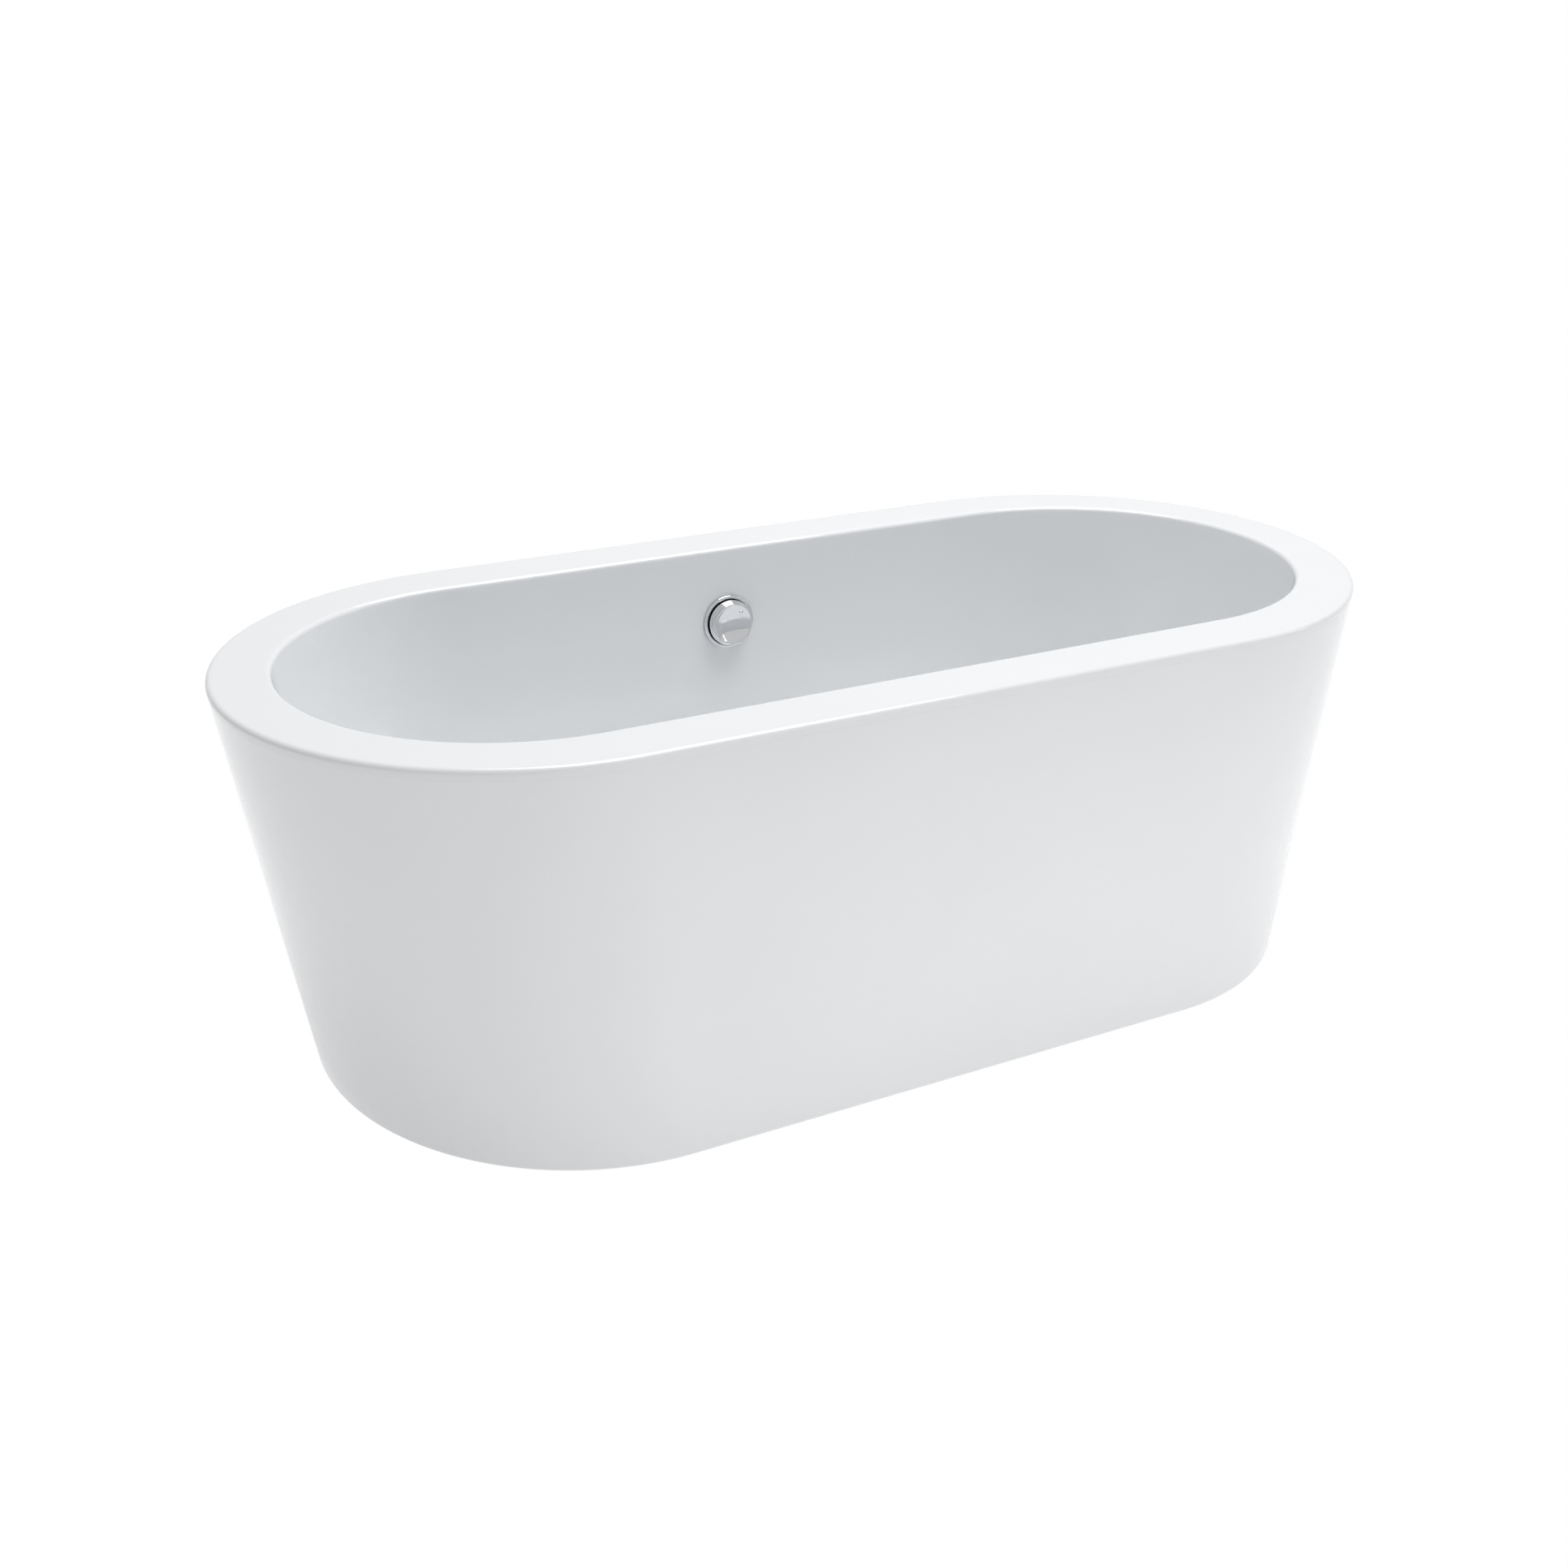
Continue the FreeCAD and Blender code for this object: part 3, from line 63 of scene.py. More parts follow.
BORE_SIDES = 64        # sides of the bit that bores a round hole
SHELL_CREASE = 32.0    # edges of the acrylic sharper than this stay sharp, in degrees
METAL_CREASE = 34.0    # the same for turned metalwork

Colour = tuple[float, float, float]
WHITE: Colour = (1.0, 1.0, 1.0)


# ---- outlines
@dataclass(frozen=True)
class Oval:
    """Two straight sides joined by elliptical ends.

    Args:
        half_length: half of the length along X.
        half_width: half of the width along Y.
        reach: length of each elliptical end along X.
    """

    half_length: float
    half_width: float
    reach: float

    @property
    def straight(self) -> float:
        """Half of the length of the straight sides."""
        return self.half_length - self.reach

    def grown(self, ends: float, sides: Optional[float] = None) -> "Oval":
        """The oval set out at its ends and its sides; its straight sides keep their length."""
        sides = ends if sides is None else sides
        return Oval(self.half_length + ends, self.half_width + sides, self.reach + ends)

    def toward(self, other: "Oval", share: float) -> "Oval":
        """The oval at a share of the way to another.

        Args:
            other: the outline at the end of the way.
            share: 0 for this oval, 1 for the other.

        Returns:
            The outline between them.
        """
        pairs = (
            (self.half_length, other.half_length),
            (self.half_width, other.half_width),
            (self.reach, other.reach),
        )
        return Oval(*(a + (b - a) * share for a, b in pairs))


def circle(radius: float) -> Oval:
    """A round outline."""
    return Oval(radius, radius, radius)


Ring = tuple[Oval, float]


# ---- modelling with operators
class Bench:
    """The bench that pieces are modelled on: selection, edit mode and finishing."""

    @staticmethod
    def clear() -> None:
        """Deselects everything."""
        bpy.ops.object.select_all(action="DESELECT")

    @staticmethod
    def take(piece: bpy.types.Object) -> None:
        """Makes a piece the only selected object, and the active one.

        Args:
            piece: the object to take.
        """
        Bench.clear()
        piece.select_set(True)
        bpy.context.view_layer.objects.active = piece

    @staticmethod
    def named(name: str) -> bpy.types.Object:
        """Names the object that an operator has just added, and its mesh.

        Args:
            name: the new name.

        Returns:
            The object.
        """
        piece = bpy.context.active_object
        piece.name = name
        piece.data.name = name
        return piece

    @staticmethod
    @contextmanager
    def editing(piece: bpy.types.Object) -> Iterator[None]:
        """Holds a piece in edit mode, selected all over.

        Args:
            piece: the object to edit.
        """
        Bench.take(piece)
        bpy.ops.object.mode_set(mode="EDIT")
        bpy.ops.mesh.select_all(action="SELECT")
        yield
        bpy.ops.object.mode_set(mode="OBJECT")

    @staticmethod
    def pick(piece: bpy.types.Object, test: Callable[[Vector], bool]) -> None:
        """Selects the vertices that pass a test, in edit mode.

        Args:
            piece: the object being edited.
            test: says of a vertex's place whether it is wanted.
        """
        bpy.ops.mesh.select_mode(type="VERT")
        mesh = bmesh.from_edit_mesh(piece.data)
        for v in mesh.verts:
            v.select_set(bool(test(v.co)))
        mesh.select_flush_mode()
        bmesh.update_edit_mesh(piece.data)

    @staticmethod
    def apply(piece: bpy.types.Object, kind: str, **settings: object) -> None:
        """Adds a modifier with its settings and applies it.

        Args:
            piece: the object to change.
            kind: the modifier's type.
            settings: values for the modifier's own fields.
        """
        Bench.take(piece)
        modifier = piece.modifiers.new(kind.title(), kind)
        for key, value in settings.items():
            setattr(modifier, key, value)
        bpy.ops.object.modifier_apply(modifier=modifier.name)

    @staticmethod
    def clean(piece: bpy.types.Object) -> None:
        """Merges doubles, drops edges of no length and turns the faces outwards.

        Args:
            piece: the piece to clean.
        """
        with Bench.editing(piece):
            bpy.ops.mesh.remove_doubles(threshold=MERGE)
            bpy.ops.mesh.dissolve_degenerate(threshold=MERGE)
            bpy.ops.mesh.normals_make_consistent(inside=False)

    @staticmethod
    def cap(piece: bpy.types.Object) -> None:
        """Closes a piece's open end with a flat face.

        Args:
            piece: the open piece.
        """
        with Bench.editing(piece):
            bpy.ops.mesh.fill_holes(sides=0)
        Bench.clean(piece)

    @staticmethod
    def place(piece: bpy.types.Object, matrix: Matrix) -> None:
        """Puts a piece drawn at the origin in its place, with the place in its mesh.

        Args:
            piece: the piece.
            matrix: its place and turn.
        """
        Bench.take(piece)
        piece.matrix_world = matrix
        bpy.ops.object.transform_apply(location=True, rotation=True, scale=True)

    @staticmethod
    def smooth(piece: bpy.types.Object, degrees: float) -> None:
        """Shades a piece smooth, except over edges sharper than the angle."""
        Bench.take(piece)
        bpy.ops.object.shade_smooth_by_angle(angle=math.radians(degrees))

    @staticmethod
    def face_up(piece: bpy.types.Object, z: float) -> None:
        """Turns an open surface over if its faces at a height look down.

        Args:
            piece: the surface.
            z: the height.
        """
        level = [f.normal.z for f in piece.data.polygons if abs(f.center.z - z) < CLOSE]
        if sum(level) < 0:
            Bench.flip(piece)

    @staticmethod
    def face_out(piece: bpy.types.Object) -> None:
        """Turns an open ring over if its faces look towards its own middle."""
        if sum(f.normal.x * f.center.x + f.normal.y * f.center.y for f in piece.data.polygons) < 0:
            Bench.flip(piece)

    @staticmethod
    def flip(piece: bpy.types.Object) -> None:
        """Turns every face over."""
        with Bench.editing(piece):
            bpy.ops.mesh.flip_normals()

    @staticmethod
    def bore(piece: bpy.types.Object, radius: float, depth: float, matrix: Matrix) -> None:
        """Bores a round hole through a closed piece.

        Args:
            piece: the piece to bore.
            radius: the hole's radius.
            depth: the whole length of the bore, half of it each side of the matrix's origin.
            matrix: the bore's place; it runs along the matrix's Z.
        """
        Bench.clear()
        bpy.ops.mesh.primitive_cylinder_add(vertices=BORE_SIDES, radius=radius, depth=depth)
        bit = Bench.named("bore_bit")
        Bench.place(bit, matrix)
        Bench.apply(piece, "BOOLEAN", operation="DIFFERENCE", solver="EXACT", object=bit)
        Bench.drop(bit)

    @staticmethod
    def drop(piece: bpy.types.Object) -> None:
        """Removes a helper object."""
        Bench.take(piece)
        bpy.ops.object.delete()


class RingStack:
    """A surface drawn ring by ring: each ring is extruded from the last, moved and resized."""

    def __init__(self, name: str, first: Ring, quarter: bool, segments: int) -> None:
        """Draws the first ring.

        Args:
            name: the piece's name.
            first: the first ring.
            quarter: draw one rounded quarter only, for a mirror.
            segments: segments in a quarter turn.
        """
        Bench.clear()
        bpy.ops.mesh.primitive_circle_add(vertices=4 * segments, radius=1.0, location=(0, 0, 0))
        self.piece = Bench.named(name)
        self.rings: list[Ring] = [first]
        self.quarter = quarter
        oval, z = first
        bpy.ops.object.mode_set(mode="EDIT")
        if quarter:
            Bench.pick(self.piece, lambda co: co.x < -CLOSE or co.y < -CLOSE)
            bpy.ops.mesh.delete(type="VERT")
        bpy.ops.mesh.select_all(action="SELECT")
        bpy.ops.transform.resize(value=(oval.reach, oval.half_width, 1.0), center_override=(0, 0, 0))
        bpy.ops.transform.translate(value=(oval.straight if quarter else 0.0, 0.0, z))

    def add(self, oval: Oval, z: float) -> "RingStack":
        """Extrudes the next ring.

        Args:
            oval: the ring's outline.
            z: the ring's height.

        Returns:
            The stack itself.
        """
        last, last_z = self.rings[-1]
        shift = oval.straight - last.straight if self.quarter else 0.0
        centre = oval.straight if self.quarter else 0.0
        move = {"value": (shift, 0.0, z - last_z)}
        bpy.ops.mesh.extrude_edges_move(TRANSFORM_OT_translate=move)
        scale = (oval.reach / last.reach, oval.half_width / last.half_width, 1.0)
        bpy.ops.transform.resize(value=scale, center_override=(centre, 0.0, z))
        self.rings.append((oval, z))
        return self

    def add_all(self, rings: Iterable[Ring]) -> "RingStack":
        """Extrudes a list of rings in turn.

        Args:
            rings: outlines with their heights.

        Returns:
            The stack itself.
        """
        for oval, z in rings:
            self.add(oval, z)
        return self

    def close(self) -> bpy.types.Object:
        """Draws the straight sides, mirrors the quarter round and cleans the mesh.

        Returns:
            The finished surface.
        """
        if self.quarter:
            ends = [Vector((o.straight, o.half_width, z)) for o, z in self.rings]
            Bench.pick(self.piece, lambda co: any((co - e).length < CLOSE for e in ends))
            for share in (STRAIGHT_GUARD, 0.0):
                bpy.ops.mesh.extrude_edges_move(TRANSFORM_OT_translate={"value": (0, 0, 0)})
                bpy.ops.transform.resize(value=(share, 1.0, 1.0), center_override=(0, 0, 0))
        bpy.ops.object.mode_set(mode="OBJECT")
        if self.quarter:
            Bench.apply(self.piece, "MIRROR", use_axis=(True, True, False), merge_threshold=MERGE)
        Bench.clean(self.piece)
        return self.piece


def arc_levels(count: int) -> list[float]:
    """Angles that divide a quarter turn, both ends included."""
    return [math.radians(90.0 * k / count) for k in range(count + 1)]


# ---- finishes
class Weave(Enum):
    """How a finish's colour wanders over the surface."""

    CLOUDY = "cloudy"
    STRANDS = "strands"
    GRAIN = "grain"


MIX_FACTOR, MIX_FIRST, MIX_SECOND = 0, 6, 7   # a colour mix node's inputs
MIX_RESULT = 2                                # and its output
TONE_BAND = (0.25, 0.75)   # the stretch of a pattern in which one tone passes into the other
STRAND_EDGE = 0.2          # how far from a strand's edge its tone is full
GRAIN_TWIST = 6.0          # how far the lines of a grain stray
GRAIN_OCTAVES = 3.0        # detail of a grain
PATTERN_OCTAVES = 4.0      # detail of the colour's noise
RELIEF_OCTAVES = 2.0       # detail of the relief's noise
WANDER = 2.3               # cells of the roughness to one cell of the colour


class Net:
    """A node tree under construction."""

    def __init__(self, name: str) -> None:
        """Starts a material with a Principled shader.

        Args:
            name: the material's name.
        """
        self.material = bpy.data.materials.new(name)
        self.material.use_nodes = True
        self.tree = self.material.node_tree
        self.shader = self.tree.nodes["Principled BSDF"]
        self.place = self.tree.nodes.new("ShaderNodeTexCoord").outputs["Object"]

    def set(self, **values: object) -> "Net":
        """Sets constants on the shader's own sockets.

        Args:
            values: socket names with their values; underscores stand for spaces.

        Returns:
            The net itself.
        """
        for key, value in values.items():
            socket = self.shader.inputs[key.replace("_", " ")]
            if isinstance(value, tuple) and len(value) == 3 and socket.type == "RGBA":
                value = (*value, 1.0)
            socket.default_value = value
        return self

    def add(self, kind: str, **values: object) -> bpy.types.Node:
        """Adds a node.

        Args:
            kind: the node's type.
            values: its fields, or its inputs where it has no such field.

        Returns:
            The node.
        """
        node = self.tree.nodes.new(kind)
        for key, value in values.items():
            if hasattr(node, key):
                setattr(node, key, value)
            else:
                node.inputs[key.replace("_", " ")].default_value = value
        return node

    def link(self, source: bpy.types.NodeSocket, target: bpy.types.NodeSocket) -> None:
        """Joins two sockets."""
        self.tree.links.new(source, target)

    def stretched(self, scale: tuple[float, float, float]) -> bpy.types.NodeSocket:
        """Object coordinates, scaled along each axis.

        Args:
            scale: the scale along X, Y and Z.

        Returns:
            The scaled coordinates.
        """
        mapping = self.add("ShaderNodeMapping")
        mapping.inputs["Scale"].default_value = scale
        self.link(self.place, mapping.inputs["Vector"])
        return mapping.outputs["Vector"]

    def noise(self, scale: float, detail: float = 3.0,
              vector: Optional[bpy.types.NodeSocket] = None) -> bpy.types.NodeSocket:
        """Noise over the surface.

        Args:
            scale: cells per metre.
            detail: octaves.
            vector: where the noise is read; object coordinates if none is given.

        Returns:
            The noise's factor.
        """
        node = self.add("ShaderNodeTexNoise", Scale=scale, Detail=detail)
        self.link(vector or self.place, node.inputs["Vector"])
        return node.outputs["Fac"]

    def spread(self, source: bpy.types.NodeSocket, low: float, high: float,
               start: float = 0.3, end: float = 0.7) -> bpy.types.NodeSocket:
        """Maps one stretch of a factor onto another.

        Args:
            source: the factor.
            low: what start becomes.
            high: what end becomes.
            start: where the stretch starts.
            end: where it ends.

        Returns:
            The mapped factor.
        """
        node = self.add("ShaderNodeMapRange")
        for key, value in (("From Min", start), ("From Max", end), ("To Min", low), ("To Max", high)):
            node.inputs[key].default_value = value
        self.link(source, node.inputs["Value"])
        return node.outputs["Result"]

    def mixed(self, factor: bpy.types.NodeSocket, first: Colour, second: Colour) -> bpy.types.NodeSocket:
        """Blends two colours.

        Args:
            factor: 0 for the first colour, 1 for the second.
            first: the first colour.
            second: the second colour.

        Returns:
            The blended colour.
        """
        node = self.add("ShaderNodeMix", data_type="RGBA")
        node.inputs[MIX_FIRST].default_value = (*first, 1.0)
        node.inputs[MIX_SECOND].default_value = (*second, 1.0)
        self.link(factor, node.inputs[MIX_FACTOR])
        return node.outputs[MIX_RESULT]

    def bump(self, height: bpy.types.NodeSocket, distance: float) -> None:
        """Feeds a height to the shader's normal, over any bump that is there.

        Args:
            height: the height, 0 to 1.
            distance: what a height of 1 stands for, in metres.
        """
        node = self.add("ShaderNodeBump", Strength=1.0, Distance=distance)
        self.link(height, node.inputs["Height"])
        normal = self.shader.inputs["Normal"]
        if normal.links:
            self.link(normal.links[0].from_socket, node.inputs["Normal"])
        self.link(node.outputs["Normal"], normal)


@dataclass(frozen=True)
class Finish:
    """A surface: two close tones that wander, a roughness that wanders, and a fine relief.

    Args:
        name: the material's name.
        tone: the main colour.
        shade: the other tone.
        weave: how the two tones lie.
        cells: size of the wandering, in cells per metre.
        smooth: lowest roughness.
        rough: highest roughness.
        relief: depth of the fine relief, in metres.
        relief_cells: its cells per metre.
        metallic: 1 for a bare metal.
        coat: strength of a clear coat.
        stretch: scale of the wandering along each axis; a small one draws it out.
    """

    name: str
    tone: Colour
    shade: Colour
    weave: Weave = Weave.CLOUDY
    cells: float = 12.0
    smooth: float = 0.3
    rough: float = 0.4
    relief: float = 0.0
    relief_cells: float = 300.0
    metallic: float = 0.0
    coat: float = 0.0
    stretch: tuple[float, float, float] = (1.0, 1.0, 1.0)

    def pattern(self, net: Net) -> bpy.types.NodeSocket:
        """The factor that blends the two tones.

        Args:
            net: the material being made.

        Returns:
            The factor.
        """
        place = net.stretched(self.stretch)
        if self.weave is Weave.STRANDS:
            node = net.add("ShaderNodeTexVoronoi", feature="DISTANCE_TO_EDGE", Scale=self.cells)
            net.link(place, node.inputs["Vector"])
            return net.spread(node.outputs["Distance"], 0.0, 1.0, 0.0, STRAND_EDGE)
        if self.weave is Weave.GRAIN:
            node = net.add("ShaderNodeTexWave", bands_direction="Y", Scale=self.cells,
                           Distortion=GRAIN_TWIST, Detail=GRAIN_OCTAVES)
            net.link(place, node.inputs["Vector"])
            return node.outputs["Fac"]
        return net.noise(self.cells, PATTERN_OCTAVES, place)

    def material(self) -> bpy.types.Material:
        """The finish as a node material.

        Returns:
            The material, made once and then reused.
        """
        made = bpy.data.materials.get(self.name)
        if made:
            return made
        net = Net(self.name)
        pattern = self.pattern(net)
        net.link(net.mixed(net.spread(pattern, 0.0, 1.0, *TONE_BAND), self.tone, self.shade),
                 net.shader.inputs["Base Color"])
        wander = net.noise(self.cells * WANDER)
        net.link(net.spread(wander, self.smooth, self.rough), net.shader.inputs["Roughness"])
        net.set(Metallic=self.metallic, Coat_Weight=self.coat)
        if self.relief:
            net.bump(net.noise(self.relief_cells, RELIEF_OCTAVES), self.relief)
        if self.relief and self.weave is not Weave.CLOUDY:
            net.bump(pattern, self.relief)
        return net.material


ACRYLIC = Finish("gloss_acrylic", (0.83, 0.84, 0.85), (0.815, 0.825, 0.837), cells=5.0, smooth=0.10,
                 rough=0.14, relief=0.00004, relief_cells=14.0, coat=0.35)
LAMINATE = Finish("glass_fibre_laminate", (0.60, 0.62, 0.49), (0.46, 0.48, 0.36), Weave.STRANDS, 60.0,
                  0.35, 0.6, 0.0008, 90.0, coat=0.3, stretch=(1.0, 0.35, 1.0))
PLYWOOD = Finish("plywood", (0.58, 0.40, 0.22), (0.44, 0.28, 0.14), Weave.GRAIN, 16.0, 0.55, 0.75,
                 0.0002, 400.0, stretch=(0.12, 1.0, 1.0))
SOFTWOOD = Finish("planed_softwood", (0.66, 0.47, 0.26), (0.52, 0.34, 0.17), Weave.GRAIN, 40.0, 0.5, 0.7,
                  0.0002, 500.0, stretch=(0.08, 1.0, 1.0))
FRAME_PAINT = Finish("powder_coat", (0.045, 0.047, 0.05), (0.06, 0.062, 0.066), cells=40.0, smooth=0.38,
                     rough=0.5, relief=0.00015, relief_cells=900.0)
ZINC = Finish("zinc_plate", (0.62, 0.64, 0.62), (0.50, 0.51, 0.48), cells=90.0, smooth=0.25, rough=0.42,
              metallic=1.0, relief=0.00003, relief_cells=600.0)
CHROME = Finish("bright_chrome", (0.69, 0.70, 0.71), (0.66, 0.67, 0.68), cells=60.0, smooth=0.03,
                rough=0.06, metallic=1.0)
BRASS = Finish("turned_brass", (0.70, 0.50, 0.20), (0.58, 0.40, 0.15), cells=120.0, smooth=0.22,
               rough=0.36, metallic=1.0)
BLACK_PLASTIC = Finish("moulded_black_plastic", (0.022, 0.022, 0.024), (0.032, 0.032, 0.034), cells=30.0,
                       smooth=0.36, rough=0.5, relief=0.0001, relief_cells=1200.0)
RUBBER = Finish("moulded_rubber", (0.012, 0.012, 0.012), (0.02, 0.02, 0.02), cells=80.0, smooth=0.6,
                rough=0.75, relief=0.0001, relief_cells=1500.0)
WHITE_PIPE = Finish("white_waste_pipe", (0.78, 0.78, 0.76), (0.74, 0.74, 0.71), cells=30.0, smooth=0.28,
                    rough=0.38, relief=0.00005, relief_cells=500.0)
GREY_HOSE = Finish("grey_hose", (0.32, 0.34, 0.36), (0.28, 0.30, 0.32), cells=40.0, smooth=0.32,
                   rough=0.45, relief=0.00008, relief_cells=900.0)
SHEATH = Finish("cable_sheath", (0.035, 0.035, 0.038), (0.05, 0.05, 0.052), cells=60.0, smooth=0.3,
                rough=0.42, relief=0.00005, relief_cells=1200.0)

SLOT_FINISH = {
    "acrylic": ACRYLIC, "laminate": LAMINATE, "plywood": PLYWOOD, "batten_wood": SOFTWOOD,
    "frame_paint": FRAME_PAINT, "zinc": ZINC, "black_plastic": BLACK_PLASTIC, "rubber": RUBBER,
    "chrome": CHROME, "brass": BRASS, "white_pipe": WHITE_PIPE, "grey_hose": GREY_HOSE,
    "cable_sheath": SHEATH,
}


def dress(piece: bpy.types.Object, finish: Finish) -> None:
    """Gives a piece one finish all over."""
    piece.data.materials.clear()
    piece.data.materials.append(finish.material())


# ---- the tub's form
@dataclass(frozen=True)
class TubForm:
    """The outlines of rim, skirt and well, and their rounded edges.

    Args:
        rim: the rim's outer outline.
        height: floor to rim.
        lip: height of the seam under the rim's lip.
        base_end_inset: how far the skirt's ends stand in at the floor.
        base_side_inset: how far its sides stand in there.
        base_reach: length of the skirt's elliptical ends at the floor.
        rim_end_width: width of the rim at its ends.
        rim_side_width: width of the rim at its sides.
        well_reach: length of the well's elliptical ends at the rim.
        floor_reach: length of those ends at the well's floor.
        floor: height of the well's floor at the drain.
        floor_fall: how much higher the floor is at its edge.
        end_lean: how far the well's ends lean out, in radians.
        side_lean: how far its sides lean out, in radians.
        corner: radius of the well's rounded floor corner.
        edge: radius of the rim's rounded edges.
    """

    rim: Oval
    height: float
    lip: float
    base_end_inset: float = 0.092
    base_side_inset: float = 0.004
    base_reach: float = 0.368
    rim_end_width: float = 0.081
    rim_side_width: float = 0.091
    well_reach: float = 0.312
    floor_reach: float = 0.270
    floor: float = 0.150
    floor_fall: float = 0.006
    end_lean: float = math.radians(13.9)
    side_lean: float = math.radians(3.3)
    corner: float = 0.100
    edge: float = 0.007

    @classmethod
    def from_frame(cls, rim_reach: float = 0.405) -> "TubForm":
        """Reads the overall sizes from the frame.

        Args:
            rim_reach: length of the rim's elliptical ends.

        Returns:
            The tub's outlines.
        """
        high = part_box("basin_shell")[1]
        rim = Oval(round(high.x, 3), round(high.y, 3), rim_reach)
        return cls(rim, round(high.z, 4), round(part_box("skirt_shell")[1].z, 4))

    @property
    def base(self) -> Oval:
        """The skirt's outline at the floor."""
        return Oval(self.rim.half_length - self.base_end_inset,
                    self.rim.half_width - self.base_side_inset, self.base_reach)

    @property
    def mouth(self) -> Oval:
        """The well's outline at the rim."""
        return Oval(self.rim.half_length - self.rim_end_width,
                    self.rim.half_width - self.rim_side_width, self.well_reach)

    def wall(self, z: float) -> Oval:
        """The well's straight wall, before any rounding.

        Args:
            z: the height.

        Returns:
            The wall's outline there.
        """
        depth = self.height - z
        share = depth / (self.height - self.floor)
        reach = self.mouth.reach + (self.floor_reach - self.mouth.reach) * share
        return Oval(self.mouth.half_length - depth * math.tan(self.end_lean),
                    self.mouth.half_width - depth * math.tan(self.side_lean), reach)

    def skirt(self, z: float) -> Oval:
        """The skirt's straight wall at a height, before any rounding."""
        return self.base.toward(self.rim, z / self.height)

    def corner_inset(self, z: float, lean: float) -> float:
        """How far the rounded floor corner stands in from the wall.

        Args:
            z: the height.
            lean: how far the wall leans out.

        Returns:
            The distance; 0 above the corner.
        """
        low = self.floor + self.floor_fall
        centre = low + self.corner
        if z >= centre - self.corner * math.sin(lean):
            return 0.0
        across = math.sqrt(max(self.corner ** 2 - (centre - z) ** 2, 0.0))
        return self.corner / math.cos(lean) - (centre - z) * math.tan(lean) - across

    def edge_inset(self, z: float, lean: float) -> float:
        """How far the rim's rounded edge stands back from its wall.

        Args:
            z: the height.
            lean: how far the wall leans away from the rim.

        Returns:
            The distance; 0 below the edge.
        """
        centre = self.height - self.edge
        if z <= centre + self.edge * math.sin(lean):
            return 0.0
        across = math.sqrt(max(self.edge ** 2 - (z - centre) ** 2, 0.0))
        return self.edge / math.cos(lean) - (z - centre) * math.tan(lean) - across

    def well(self, z: float) -> Oval:
        """The well, with its floor corner and its rim edge rounded.

        Args:
            z: the height.

        Returns:
            The well's outline there.
        """
        ends = self.edge_inset(z, self.end_lean) - self.corner_inset(z, self.end_lean)
        sides = self.edge_inset(z, self.side_lean) - self.corner_inset(z, self.side_lean)
        return self.wall(z).grown(ends, sides)

    def outside(self, z: float) -> Oval:
        """The skirt and lip, with the rim's edge rounded.

        Args:
            z: the height.

        Returns:
            Their outline there.
        """
        end_lean = -math.atan(self.base_end_inset / self.height)
        side_lean = -math.atan(self.base_side_inset / self.height)
        ends = self.edge_inset(z, end_lean)
        sides = self.edge_inset(z, side_lean)
        return self.skirt(z).grown(-ends, -sides)


# ---- the shells
POCKET_STEPS = 4       # steps round each edge of the drain's pocket
FLOOR_STEPS = 6        # rings across the well's floor
CORNER_STEPS = 20      # steps round the floor's corner
WALL_STEPS = 10        # rings up the well's wall
EDGE_STEPS = 8         # steps round each edge of the rim
RIM_STEPS = 4          # bands across the rim's flat
SKIRT_STEPS = 14       # rings down the skirt
FOOT_STEPS = 6         # steps round the edge of the skirt's foot
BORE_SHEETS = 10       # length of a bore through a sheet, in thicknesses of the sheet


def settle(piece: bpy.types.Object, body: str, slot: str, *nodes: str) -> None:
    """Dresses a finished piece in its slot's finish, hangs it on its body and hides the frame's nodes that
    it replaces.

    Args:
        piece: the finished piece.
        body: the body it rides on.
        slot: the material slot it takes its finish from.
        nodes: the frame's nodes that it replaces.
    """
    dress(piece, SLOT_FINISH[slot])
    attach(piece, body)
    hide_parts(*nodes)
    log.info("%s: %d faces, rides on %s", piece.name, len(piece.data.polygons), body)


def levels(low: float, high: float, count: int) -> list[float]:
    """Even heights after low, up to and with high."""
    return [low + (high - low) * (k + 1) / count for k in range(count)]


